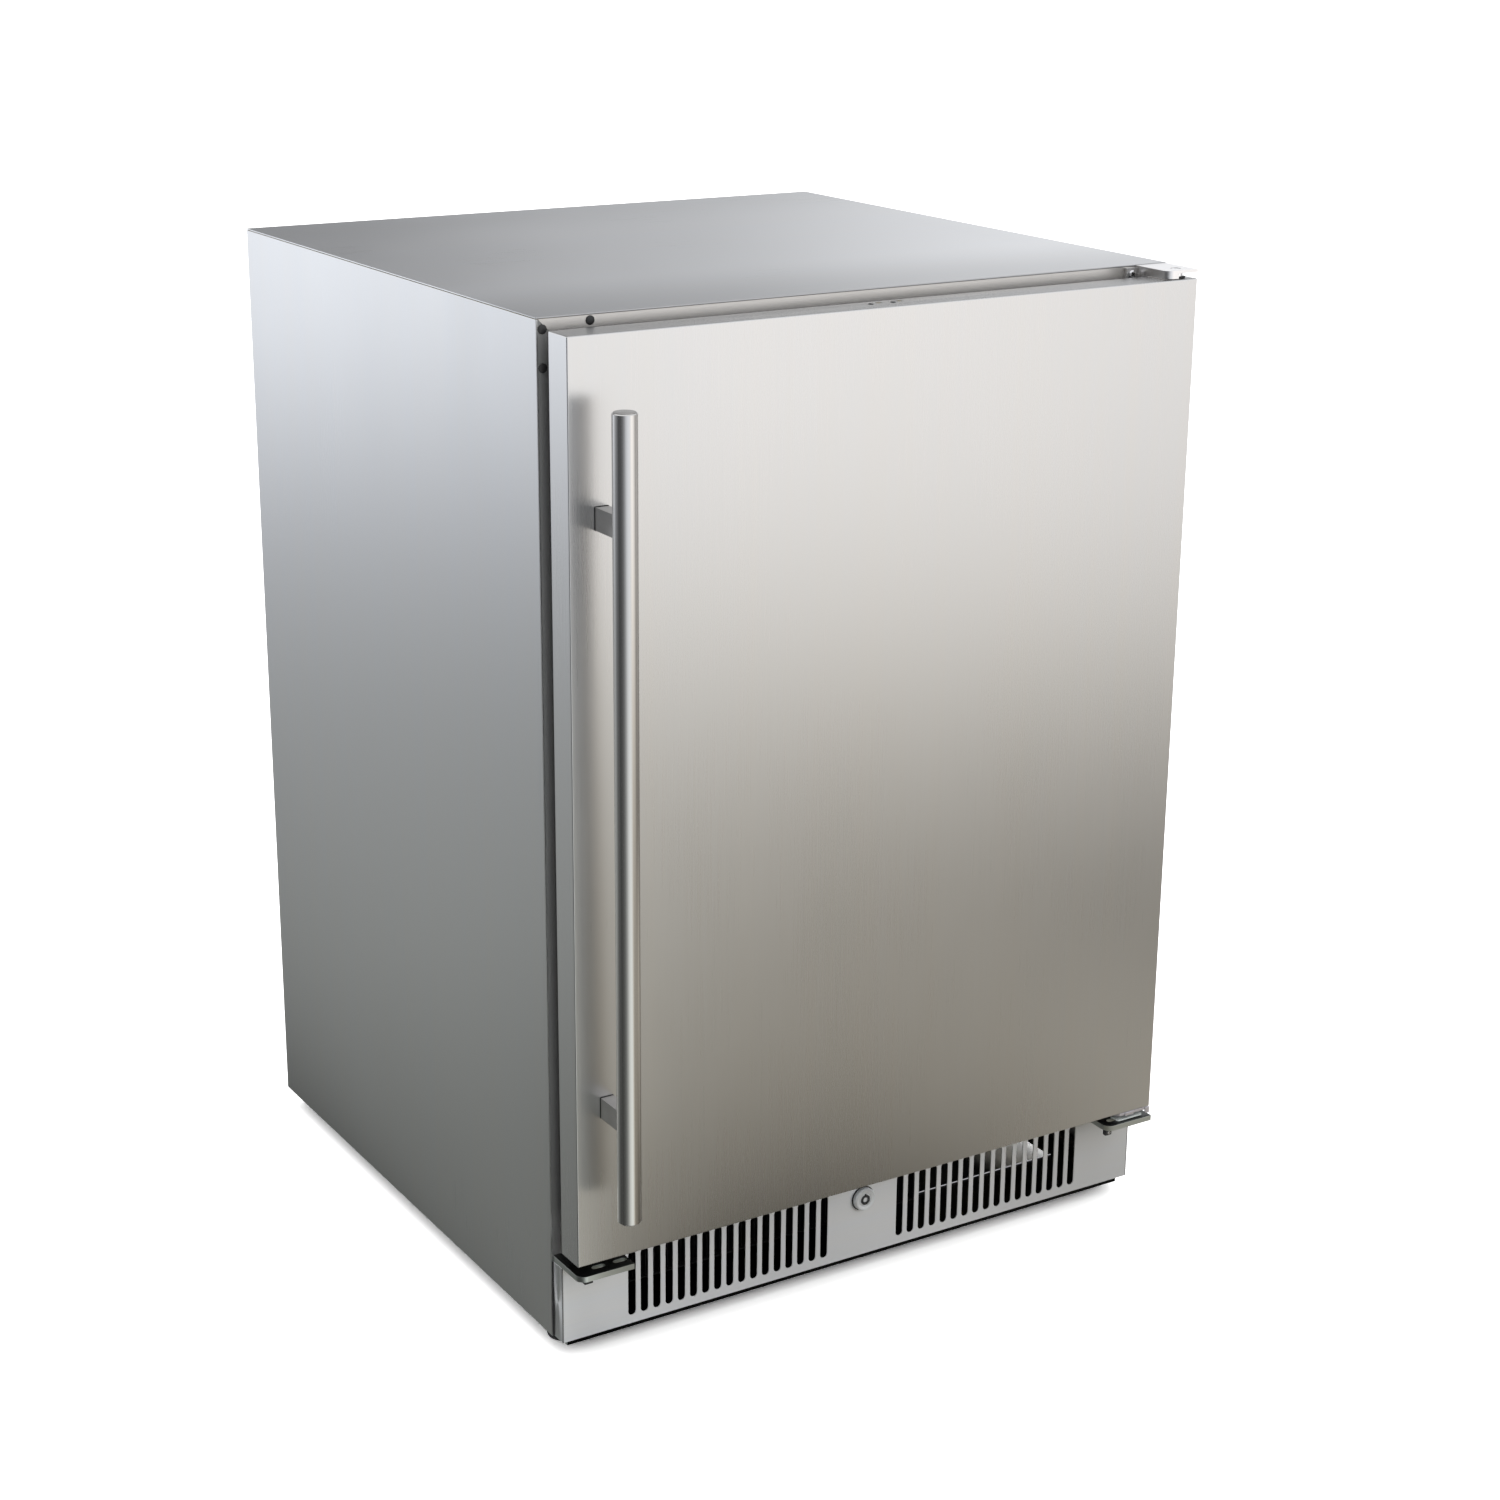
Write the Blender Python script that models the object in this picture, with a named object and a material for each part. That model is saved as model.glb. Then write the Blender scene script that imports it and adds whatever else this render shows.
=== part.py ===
"""Undercounter refrigerator: a stainless cabinet on four levelling feet, with one right-hinged door.

Lengths are metres. Every position is written in cabinet coordinates: x from the centre line, y from
the cabinet's front plane towards the back, z from the bottom edge of the side panels. The empty
cabinet_origin puts that frame into the world, whose origin is on the floor under the middle.
"""

import math

import bmesh
import bpy
from mathutils import Matrix, Vector
from mathutils.geometry import tessellate_polygon

# Driving dimensions
WIDTH = 0.600
DEPTH = 0.5646
HEIGHT = 0.850
FOOT_LIFT = 0.017
GAP = 0.0003
SHEET = 0.001
HANDLE_AXIS_Y = -0.080
HANDLE_RADIUS = 0.00975

# Door
DOOR_X = 0.2978
DOOR_FRONT = -0.0439
DOOR_BACK = -0.0146
DOOR_LOW = 0.0831
DOOR_HIGH = 0.8422
DOOR_MIDDLE = (DOOR_LOW + DOOR_HIGH) / 2
HINGE_X = 0.285
HINGE_Y = -0.030
PIN_RADIUS = 0.004

# Cabinet front frame and the cold cavity behind it
TOP_SHEET = 0.0012
FLANGE_WIDTH = 0.028
PANEL_TOP = HEIGHT - TOP_SHEET - GAP
FRAME_IN = WIDTH / 2 - FLANGE_WIDTH - GAP
LINER_WALL = 0.0015
CAVITY_X = 0.2605
CAVITY_FLOOR = 0.128
CAVITY_CEILING = 0.808
CAVITY_BACK = 0.518
HUMP_Y = 0.330
HUMP_Z = 0.345
FOAM_UNDER_FLOOR = 0.100
FOAM_UNDER_HUMP = 0.312
FOAM_HUMP_Y = 0.362

# Kick plate
KICK_X = 0.298
KICK_FRONT = -0.0155
KICK_SHEET = 0.0012
KICK_TOP = 0.0695
SLOT_COUNT = 17
SLOT_WIDTH = 0.007
SLOT_PITCH = 0.012
SLOT_FIRST_X = 0.040
SLOT_LOW = 0.0075
SLOT_HIGH = 0.0675
LOCK_Z = 0.0555

# Hinge brackets
BRACKET_X = 0.247
BRACKET_RIGHT = 0.298
BRACKET_FRONT = -0.047
BRACKET_LOW = 0.070
BRACKET_HIGH = 0.075

# Shelves
SHELF_X = 0.2640
SHELF_FRONT = 0.030
SHELF_BACK = 0.458
SHELF_LEVELS = {"lower": 0.375, "middle": 0.515, "upper": 0.655}
SHELF_THICK = 0.005
GROOVE_DEPTH = 0.006
GROOVE_END_ROOM = 0.004
GROOVE_HEAD_ROOM = 0.0015

# Base
TRAY_X = 0.291
TRAY_FRONT = -0.0097
TRAY_BACK = 0.5616
TRAY_TOP = -0.0005
TRAY_LOW = -0.0068
FOOT_RADIUS = 0.015
FOOT_PLACES = {
    "front_left": (-0.275, 0.025),
    "front_right": (0.275, 0.025),
    "rear_left": (-0.262, 0.530),
    "rear_right": (0.262, 0.530),
}

STEEL = ("brushed_steel", (0.60, 0.60, 0.60), 0.35, 1.0)
BLACK = ("black_plastic", (0.02, 0.02, 0.02), 0.55, 0.0)
RUBBER = ("black_rubber", (0.015, 0.015, 0.016), 0.8, 0.0)
WHITE = ("white_plastic", (0.82, 0.83, 0.84), 0.4, 0.0)
FOAM = ("foam", (0.85, 0.78, 0.55), 0.9, 0.0)
CHROME = ("bright_wire", (0.75, 0.75, 0.76), 0.2, 1.0)
ALUMINIUM = ("aluminium", (0.78, 0.79, 0.80), 0.4, 1.0)
GALVANISED = ("galvanised_sheet", (0.55, 0.57, 0.58), 0.5, 0.9)
BLACK_METAL = ("black_enamel", (0.03, 0.03, 0.03), 0.45, 0.3)
WINDOW = ("display_window", (0.03, 0.05, 0.09), 0.15, 0.0)
LENS = ("light_lens", (0.93, 0.95, 0.98), 0.25, 0.0)


def clear_scene():
    for obj in list(bpy.data.objects):
        bpy.data.objects.remove(obj)


def material(look):
    name, colour, roughness, metallic = look
    found = bpy.data.materials.get(name)
    if found:
        return found
    made = bpy.data.materials.new(name)
    made.use_nodes = True
    shader = made.node_tree.nodes["Principled BSDF"]
    shader.inputs["Base Color"].default_value = (*colour, 1.0)
    shader.inputs["Roughness"].default_value = roughness
    shader.inputs["Metallic"].default_value = metallic
    made.diffuse_color = (*colour, 1.0)
    return made


def empty(name, place, parent=None):
    obj = bpy.data.objects.new(name, None)
    bpy.context.scene.collection.objects.link(obj)
    obj.location = place
    obj.parent = parent
    return obj


def solid(name, bm):
    """The bmesh as an object in cabinet coordinates, its faces turned outwards."""
    bmesh.ops.remove_doubles(bm, verts=bm.verts, dist=1e-6)
    bmesh.ops.recalc_face_normals(bm, faces=bm.faces)
    mesh = bpy.data.meshes.new(name)
    bm.to_mesh(mesh)
    bm.free()
    obj = bpy.data.objects.new(name, mesh)
    bpy.context.scene.collection.objects.link(obj)
    return obj


def block(name, low, high):
    """A box between two corners."""
    bm = bmesh.new()
    bmesh.ops.create_cube(bm, size=1.0)
    size = Vector(high) - Vector(low)
    bmesh.ops.scale(bm, vec=size, verts=bm.verts)
    bmesh.ops.translate(bm, vec=(Vector(high) + Vector(low)) / 2, verts=bm.verts)
    return solid(name, bm)


def plate(name, loops, axis, low, high):
    """A flat plate from low to high along axis. The first loop is its outline, the others its holes.
    Loop points are (x, z) across "Y", (x, y) across "Z" and (y, z) across "X"."""
    place = {
        "X": lambda a, b, depth: (depth, a, b),
        "Y": lambda a, b, depth: (a, depth, b),
        "Z": lambda a, b, depth: (a, b, depth),
    }[axis]
    bm = bmesh.new()
    sides = [
        [[bm.verts.new(place(a, b, depth)) for a, b in loop] for loop in loops]
        for depth in (low, high)
    ]
    flat = [[Vector((a, b, 0)) for a, b in loop] for loop in loops]
    triangles = tessellate_polygon(flat)
    for side in sides:
        verts = [vert for loop in side for vert in loop]
        for triangle in triangles:
            bm.faces.new([verts[i] for i in triangle])
    for near, far in zip(*sides):
        count = len(near)
        for i in range(count):
            after = (i + 1) % count
            bm.faces.new((near[i], near[after], far[after], far[i]))
    return solid(name, bm)


def lathe(name, profile, centre, axis="Z", steps=24):
    """A turned solid round Z or Y. The profile's points are (radius, distance along axis from centre), and it
    starts and ends on the axis or closes on itself round a bore."""
    bm = bmesh.new()
    verts = [bm.verts.new((radius, 0, along)) for radius, along in profile]
    edges = [bm.edges.new(pair) for pair in zip(verts, verts[1:])]
    if profile[0][0] > 0:
        edges.append(bm.edges.new((verts[-1], verts[0])))
    bmesh.ops.spin(
        bm, geom=verts + edges, cent=(0, 0, 0), axis=(0, 0, 1), steps=steps, angle=2 * math.pi
    )
    turn = Matrix.Rotation(math.radians(-90), 4, "X") if axis == "Y" else Matrix.Identity(4)
    bmesh.ops.transform(bm, matrix=Matrix.Translation(centre) @ turn, verts=bm.verts)
    return solid(name, bm)


def rod(name, centre, radius, low, high, axis="Z", steps=24):
    """A plain round rod along axis, from low to high measured from centre."""
    profile = [(0, high), (radius, high), (radius, low), (0, low)]
    return lathe(name, profile, centre, axis, steps)


def combine(target, other, operation):
    """Joins other to target, or cuts it away, and removes other."""
    modifier = target.modifiers.new(operation, "BOOLEAN")
    modifier.operation = operation
    modifier.object = other
    bpy.context.view_layer.update()
    graph = bpy.context.evaluated_depsgraph_get()
    mesh = bpy.data.meshes.new_from_object(target.evaluated_get(graph))
    target.modifiers.clear()
    target.data = mesh
    bpy.data.objects.remove(other)
    return target


def join(target, *others):
    for other in others:
        combine(target, other, "UNION")
    return target


def cut(target, *others):
    for other in others:
        combine(target, other, "DIFFERENCE")
    return target


def bevel(obj, width, segments=1):
    modifier = obj.modifiers.new("bevel", "BEVEL")
    modifier.width = width
    modifier.segments = segments
    modifier.limit_method = "ANGLE"
    modifier.angle_limit = math.radians(50)
    return obj


def settle(obj, look, parent, origin=None, smooth=False):
    """Gives the object its material, its origin (its middle, if none is given) and its parent."""
    corners = [Vector(corner) for corner in obj.bound_box]
    origin = Vector(origin) if origin else (corners[0] + corners[6]) / 2
    obj.data.transform(Matrix.Translation(-origin))
    obj.parent = parent
    parent_place = parent.location if parent.parent else Vector((0, 0, 0))
    obj.location = origin - parent_place
    obj.data.materials.clear()
    obj.data.materials.append(material(look))
    if smooth:
        obj.data.shade_smooth()
        obj.data.set_sharp_from_angle(angle=math.radians(35))
    return obj


def arc(centre, radius, start, end, steps):
    """Points along a circle's arc, its angles in degrees."""
    angles = [math.radians(start + (end - start) * i / steps) for i in range(steps + 1)]
    return [(centre[0] + radius * math.cos(a), centre[1] + radius * math.sin(a)) for a in angles]


def circle(centre, radius, steps=24):
    return arc(centre, radius, 0, 360, steps)[:-1]


def ring_sector(centre, inner, outer, start, half_bar):
    """A quarter of a ring, drawn in by half a bar's width from each of its two straight sides."""
    points = []
    for radius, turn in ((outer, 1), (inner, -1)):
        margin = math.degrees(math.asin(half_bar / radius))
        points += arc(centre, radius, start + margin, start + 90 - margin, 5)[::turn]
    return points


def rectangle(low, high):
    return [low, (high[0], low[1]), high, (low[0], high[1])]


def upright_slot(x, low, high, width, steps=4):
    """A slot with round ends, along the second coordinate."""
    half = width / 2
    return arc((x, low + half), half, 180, 360, steps) + arc((x, high - half), half, 0, 180, steps)


def level_slot(low, high, y, width, steps=4):
    """A slot with round ends, along the first coordinate."""
    half = width / 2
    return arc((high - half, y), half, -90, 90, steps) + arc((low + half, y), half, 90, 270, steps)


def side_panel(side):
    """A side sheet with its front edge turned in. The mirrored pair shares this profile."""
    outer, inner = side * WIDTH / 2, side * (WIDTH / 2 - SHEET)
    flange = side * (WIDTH / 2 - FLANGE_WIDTH)
    profile = [(outer, 0), (outer, DEPTH), (inner, DEPTH), (inner, SHEET), (flange, SHEET), (flange, 0)]
    return plate("side_panel_left" if side < 0 else "side_panel_right", [profile], "Z", 0, PANEL_TOP)


def bore_y(x, z, radius):
    """A cutter for a hole through the front frame."""
    return rod("cutter", (x, 0, z), radius, -0.01, 0.01, "Y", 16)


def make_shell(root):
    plug_radius = 0.0030
    left = cut(side_panel(-1), bore_y(-0.295, 0.841, plug_radius), bore_y(-0.295, 0.812, plug_radius))
    settle(left, STEEL, root)
    settle(side_panel(1), STEEL, root)
    settle(block("top_panel", (-WIDTH / 2, 0, HEIGHT - TOP_SHEET), (WIDTH / 2, DEPTH, HEIGHT)), STEEL, root)
    inside = WIDTH / 2 - SHEET - GAP
    back = block("back_panel", (-inside, DEPTH - 0.0015, 0.305), (inside, DEPTH, PANEL_TOP))
    settle(back, GALVANISED, root)
    low, high = CAVITY_CEILING + 0.005, PANEL_TOP
    top_rail = block("top_rail", (-FRAME_IN, 0.0003, low), (FRAME_IN, 0.0015, high))
    cut(top_rail, bore_y(-0.2547, 0.8447, plug_radius), bore_y(0.2605, 0.8427, 0.0024))
    settle(top_rail, STEEL, root)
    profile = [(0.0003, 0.0700), (0.0120, 0.0700), (0.0120, 0.0712), (0.0015, 0.0712)]
    profile += [(0.0015, 0.1225), (0.0003, 0.1225)]
    bottom_rail = plate("bottom_rail", [profile], "X", -FRAME_IN, FRAME_IN)
    settle(bottom_rail, STEEL, root)
    for name, place in {
        "rail_plug": (-0.2547, 0, 0.8447),
        "flange_plug_upper": (-0.295, 0, 0.841),
        "flange_plug_lower": (-0.295, 0, 0.812),
    }.items():
        stem, head = plug_radius - GAP, 0.0037
        profile = [(0, -0.0016), (0.0026, -0.0015), (head, -0.0008), (head, -GAP), (stem, -GAP)]
        profile += [(stem, 0.0015), (0, 0.0015)]
        settle(lathe(name, profile[::-1], place, "Y", 12), BLACK, root, smooth=True)


def cavity_profile(grow, front):
    """The cold cavity's outline in the side view, grown outwards on every wall but the front."""
    return [
        (front, CAVITY_FLOOR - grow),
        (HUMP_Y + grow, CAVITY_FLOOR - grow),
        (HUMP_Y + grow, HUMP_Z - grow),
        (CAVITY_BACK + grow, HUMP_Z - grow),
        (CAVITY_BACK + grow, CAVITY_CEILING + grow),
        (front, CAVITY_CEILING + grow),
    ]


def shelf_grooves(grow, inner_x):
    """A block for each shelf groove, from inner_x out into the wall, grown by grow on its far sides."""
    for level in SHELF_LEVELS.values():
        for side in (-1, 1):
            x = sorted((side * inner_x, side * (CAVITY_X + GROOVE_DEPTH + grow)))
            low_z, high_z = level - GAP - grow, level + SHELF_THICK + GROOVE_HEAD_ROOM + grow
            low = (x[0], SHELF_FRONT - GROOVE_END_ROOM - grow, low_z)
            high = (x[1], SHELF_BACK + GROOVE_END_ROOM + grow, high_z)
            yield block("groove", low, high)


def make_insulation(root):
    inside = WIDTH / 2 - SHEET - GAP
    front, back = 0.0018, DEPTH - 0.0018
    profile = [
        (front, FOAM_UNDER_FLOOR),
        (FOAM_HUMP_Y, FOAM_UNDER_FLOOR),
        (FOAM_HUMP_Y, FOAM_UNDER_HUMP),
        (back, FOAM_UNDER_HUMP),
        (back, PANEL_TOP),
        (front, PANEL_TOP),
    ]
    foam = plate("insulation_foam", [profile], "X", -inside, inside)
    reach = CAVITY_X + LINER_WALL + GAP
    cut(foam, plate("cutter", [cavity_profile(LINER_WALL + GAP, -0.01)], "X", -reach, reach))
    cut(foam, *shelf_grooves(LINER_WALL + GAP, CAVITY_X))
    settle(foam, FOAM, root)


def make_liner(root):
    """The inner liner: a tub open at the front, with a lip round its mouth and moulded shelf grooves."""
    reach = CAVITY_X + LINER_WALL
    liner = plate("inner_liner", [cavity_profile(LINER_WALL, GAP)], "X", -reach, reach)
    lip_low, lip_high = (-FRAME_IN, 0.1228), (FRAME_IN, CAVITY_CEILING + 0.0047)
    join(liner, plate("lip", [rectangle(lip_low, lip_high)], "Y", GAP, 0.0015))
    join(liner, *shelf_grooves(LINER_WALL, CAVITY_X))
    cut(liner, plate("cutter", [cavity_profile(0, -0.01)], "X", -CAVITY_X, CAVITY_X))
    cut(liner, *shelf_grooves(0, CAVITY_X - 0.001))
    settle(liner, WHITE, root)


def make_shelves(root):
    """Three wire shelves, each a welded grid with a thicker rim."""
    rim, wire, count = 0.007, 0.0032, 14
    pitch = (2 * (SHELF_X - rim) + wire) / count
    middle = (SHELF_FRONT + SHELF_BACK) / 2
    rows = ((SHELF_FRONT + rim, middle - 0.003), (middle + 0.003, SHELF_BACK - rim))
    outline = rectangle((-SHELF_X, SHELF_FRONT), (SHELF_X, SHELF_BACK))
    holes = []
    for i in range(count):
        left = -SHELF_X + rim + i * pitch
        holes += [rectangle((left, low), (left + pitch - wire, high)) for low, high in rows]
    for name, level in SHELF_LEVELS.items():
        shelf = plate(f"wire_shelf_{name}", [outline] + holes, "Z", level, level + SHELF_THICK)
        settle(shelf, CHROME, root)


def make_evaporator(root):
    """Cold-air unit on the cavity's back wall: coil, fan and their slotted cover."""
    half, low, high = 0.150, 0.500, 0.790
    front, back = 0.4720, CAVITY_BACK - GAP
    fan_x, fan_z = 0, 0.722
    slots = [upright_slot(x * 0.022, 0.520, 0.575, 0.008, 3) for x in range(-5, 6)]
    guard = [(0.004, 0.016), (0.019, 0.031), (0.034, 0.046)]
    face = rectangle((-half, low), (half, high))
    cover = plate("evaporator_cover", [face] + slots, "Y", front, front + 0.0012)
    for inner, outer in guard:
        for quarter in range(4):
            sector = ring_sector((fan_x, fan_z), inner, outer, quarter * 90, 0.0012)
            cut(cover, plate("cutter", [sector], "Y", front - 0.01, front + 0.01))
    wall, inset = 0.0012, 0.0002
    outer_wall = rectangle((-half + inset, low + inset), (half - inset, high - inset))
    inner_wall = rectangle((-half + wall, low + wall), (half - wall, high - wall))
    join(cover, plate("wall", [outer_wall, inner_wall], "Y", front + 0.0006, back))
    settle(cover, WHITE, root)

    fins = []
    for i in range(12):
        left = i * 0.0235 - 0.130
        fins.append(block("evaporator_coil", (left, 0.484, 0.590), (left + 0.0015, 0.510, 0.665)))
    tubes = [block("tube", (-0.136, 0.493, z), (0.136, 0.501, z + 0.008)) for z in (0.602, 0.624, 0.646)]
    settle(join(fins[0], *tubes, *fins[1:]), ALUMINIUM, root)

    motor = rod("evaporator_fan_motor", (fan_x, 0, fan_z), 0.016, 0.4985, back, "Y", 20)
    settle(motor, BLACK, root, smooth=True)
    make_fan("evaporator_fan", (fan_x, 0, fan_z), 0.042, 0.4780, 0.4975, 5, root)


def make_fan(name, centre, radius, front, back, blades, root):
    """A hub with pitched blades, turning about Y. Its origin is on its axis."""
    hub = radius * 0.36
    fan = rod(name, centre, hub, front, back, "Y", 20)
    depth = back - front
    for i in range(blades):
        bm = bmesh.new()
        bmesh.ops.create_cube(bm, size=1.0)
        bmesh.ops.scale(bm, vec=(radius - hub * 0.7, depth * 0.16, radius * 0.62), verts=bm.verts)
        bmesh.ops.rotate(bm, matrix=Matrix.Rotation(math.radians(36), 3, "X"), verts=bm.verts)
        bmesh.ops.translate(bm, vec=((radius + hub * 0.6) / 2, 0, 0), verts=bm.verts)
        bmesh.ops.rotate(bm, matrix=Matrix.Rotation(math.tau * i / blades, 3, "Y"), verts=bm.verts)
        middle = (centre[0], (front + back) / 2, centre[2])
        bmesh.ops.translate(bm, vec=middle, verts=bm.verts)
        join(fan, solid("blade", bm))
    settle(fan, BLACK, root, origin=(centre[0], (front + back) / 2, centre[2]))


def make_controls(root):
    """The control box under the cavity's ceiling: display window, four sprung keys and the light."""
    x, front, back, low, high = 0.110, 0.022, 0.072, 0.789, CAVITY_CEILING - GAP
    housing = block("control_housing", (-x, front, low), (x, back, high))
    window_x, middle = 0.024, (low + high) / 2
    window_low, window_high = middle - 0.006, middle + 0.006
    window = block("cutter", (-window_x, front - 0.01, window_low), (window_x, front + 0.0016, window_high))
    cut(housing, window)
    keys = {
        "power_button": -0.085,
        "light_button": -0.055,
        "warmer_button": 0.055,
        "cooler_button": 0.085,
    }
    key_radius, depth = 0.0050, 0.0050
    for key_x in keys.values():
        hole = rod("cutter", (key_x, 0, middle), key_radius + GAP, front - 0.01, front + depth, "Y", 20)
        cut(housing, hole)
    settle(housing, BLACK, root)
    low_corner = (-window_x + GAP, front + 0.0003, window_low + GAP)
    high_corner = (window_x - GAP, front + 0.0013, window_high - GAP)
    settle(block("control_display", low_corner, high_corner), WINDOW, root)
    for name, key_x in keys.items():
        centre = (key_x, front, middle)
        profile = [(0, 0.0032), (key_radius, 0.0032), (key_radius, -0.0007)]
        profile += [(key_radius - 0.0006, -0.0012), (0, -0.0014)]
        settle(lathe(name, profile, centre, "Y", 20), WHITE, root, origin=centre, smooth=True)
    ceiling = CAVITY_CEILING - GAP
    lens = block("light_lens", (-0.070, 0.120, ceiling - 0.008), (0.070, 0.150, ceiling))
    settle(bevel(lens, 0.003, 2), LENS, root)


def make_kick_plate(root):
    """The slotted toe grille: a front sheet with both ends turned back to the cabinet."""
    outline = rectangle((-KICK_X, 0), (KICK_X, KICK_TOP))
    places = [side * (SLOT_FIRST_X + SLOT_PITCH * i) for side in (-1, 1) for i in range(SLOT_COUNT)]
    slots = [upright_slot(x, SLOT_LOW, SLOT_HIGH, SLOT_WIDTH, 5) for x in places]
    lock_hole = circle((0, LOCK_Z), 0.0092, 20)
    kick = plate("kick_plate", [outline, lock_hole] + slots, "Y", KICK_FRONT, KICK_FRONT + KICK_SHEET)
    for x in (-KICK_X, KICK_X - KICK_SHEET):
        join(kick, block("return", (x, KICK_FRONT + KICK_SHEET / 2, 0), (x + KICK_SHEET, -GAP, KICK_TOP)))
    settle(kick, STEEL, root)


def make_lock(root, strike_parent):
    """Tubular key lock: a fixed barrel, and a plug that carries the cam up into the door's strike."""
    front, back = KICK_FRONT - 0.005, -0.0105
    bore, face, body = 0.0061, 0.0105, 0.0088
    rim = [(bore, front + 0.0004), (face - 0.0012, front), (face, front + 0.0012)]
    rim += [(face, KICK_FRONT - GAP), (body, KICK_FRONT - GAP), (body, back), (bore, back)]
    barrel = lathe("lock_barrel", rim[::-1], (0, 0, LOCK_Z), "Y", 28)
    settle(barrel, CHROME, root, smooth=True)

    axis_point = (0, front, LOCK_Z)
    plug_radius, groove_out, groove_in = bore - GAP, 0.0042, 0.0027
    tail = back + 0.0005
    profile = [(0, front + 0.0008), (groove_in, front + 0.0008), (groove_in, front + 0.0050)]
    profile += [(groove_out, front + 0.0050), (groove_out, front + 0.0006), (plug_radius, front + 0.0006)]
    profile += [(plug_radius, tail), (0, tail)]
    plug = lathe("lock_plug", profile[::-1], (0, 0, LOCK_Z), "Y", 28)
    shank = 0.0028
    join(plug, block("shank", (-shank, tail - 0.001, LOCK_Z - shank), (shank, -0.0070, LOCK_Z + shank)))
    settle(plug, CHROME, root, origin=axis_point)

    reach, half, thick = 0.0295, 0.0060, (-0.0096, -0.0076)
    outline = arc((0, LOCK_Z), 0.0075, 90, 270, 8) + [(reach - half, LOCK_Z - half)]
    outline += arc((reach - half, LOCK_Z), half, -90, 90, 8)[1:]
    hole = rectangle((-shank - GAP, LOCK_Z - shank - GAP), (shank + GAP, LOCK_Z + shank + GAP))
    cam = plate("lock_cam", [outline, hole], "Y", *thick)
    settle(cam, STEEL, root, origin=axis_point)

    slot = rectangle((-0.0085, -0.0118), (0.0180, -0.0052))
    outline = rectangle((-0.018, -0.036), (0.026, -0.0028))
    strike = plate("lock_strike", [outline, slot], "Z", 0.0803, DOOR_LOW - GAP)
    settle(strike, STEEL, strike_parent)


def bracket_outline(side):
    """The lower bracket's plan: a plate reaching forwards, its inner front corner rounded."""
    inner, outer, radius = BRACKET_X, BRACKET_RIGHT, 0.008
    corner = arc((outer - radius, BRACKET_FRONT + radius), radius, 0, -90, 6)
    if side > 0:
        corner = arc((inner + radius, BRACKET_FRONT + radius), radius, 270, 180, 6)
        points = [(outer, -GAP), (outer, BRACKET_FRONT)] + corner + [(inner, -GAP)]
        return points
    points = [(inner, -GAP)] + [(outer, -GAP)] + corner + [(inner, BRACKET_FRONT)]
    return [(-x, y) for x, y in points]


def make_lower_brackets(root):
    leg_x = (BRACKET_X + 0.003, 0.2950)
    leg_low, leg_front = 0.018, -0.0050
    pin_hole = circle((HINGE_X, HINGE_Y), PIN_RADIUS + GAP, 20)
    loops = [bracket_outline(1), pin_hole, level_slot(0.255, 0.2675, -0.036, 0.0046)]
    right = plate("lower_hinge_bracket", loops, "Z", BRACKET_LOW, BRACKET_HIGH)
    join(right, block("leg", (leg_x[0], leg_front, leg_low), (leg_x[1], -GAP, BRACKET_LOW + 0.001)))
    settle(right, STEEL, root)
    slots = [level_slot(low, low + 0.0125, -0.036, 0.0046) for low in (-0.2812, -0.2612)]
    left = plate("spare_hinge_bracket", [bracket_outline(-1)] + slots, "Z", BRACKET_LOW, BRACKET_HIGH)
    join(left, block("leg", (-leg_x[1], leg_front, leg_low), (-leg_x[0], -GAP, BRACKET_LOW + 0.001)))
    settle(left, STEEL, root)
    radius, collar = PIN_RADIUS, 0.0075
    profile = [(0, 0.0985), (radius - 0.001, 0.0985), (radius, 0.0970), (radius, 0.0777), (collar, 0.0777)]
    profile += [(collar, BRACKET_HIGH + GAP), (radius, BRACKET_HIGH + GAP), (radius, 0.0665), (0, 0.0665)]
    pin = lathe("lower_hinge_pin", profile, (HINGE_X, HINGE_Y, 0), "Z", 20)
    settle(pin, CHROME, root, smooth=True)


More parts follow.
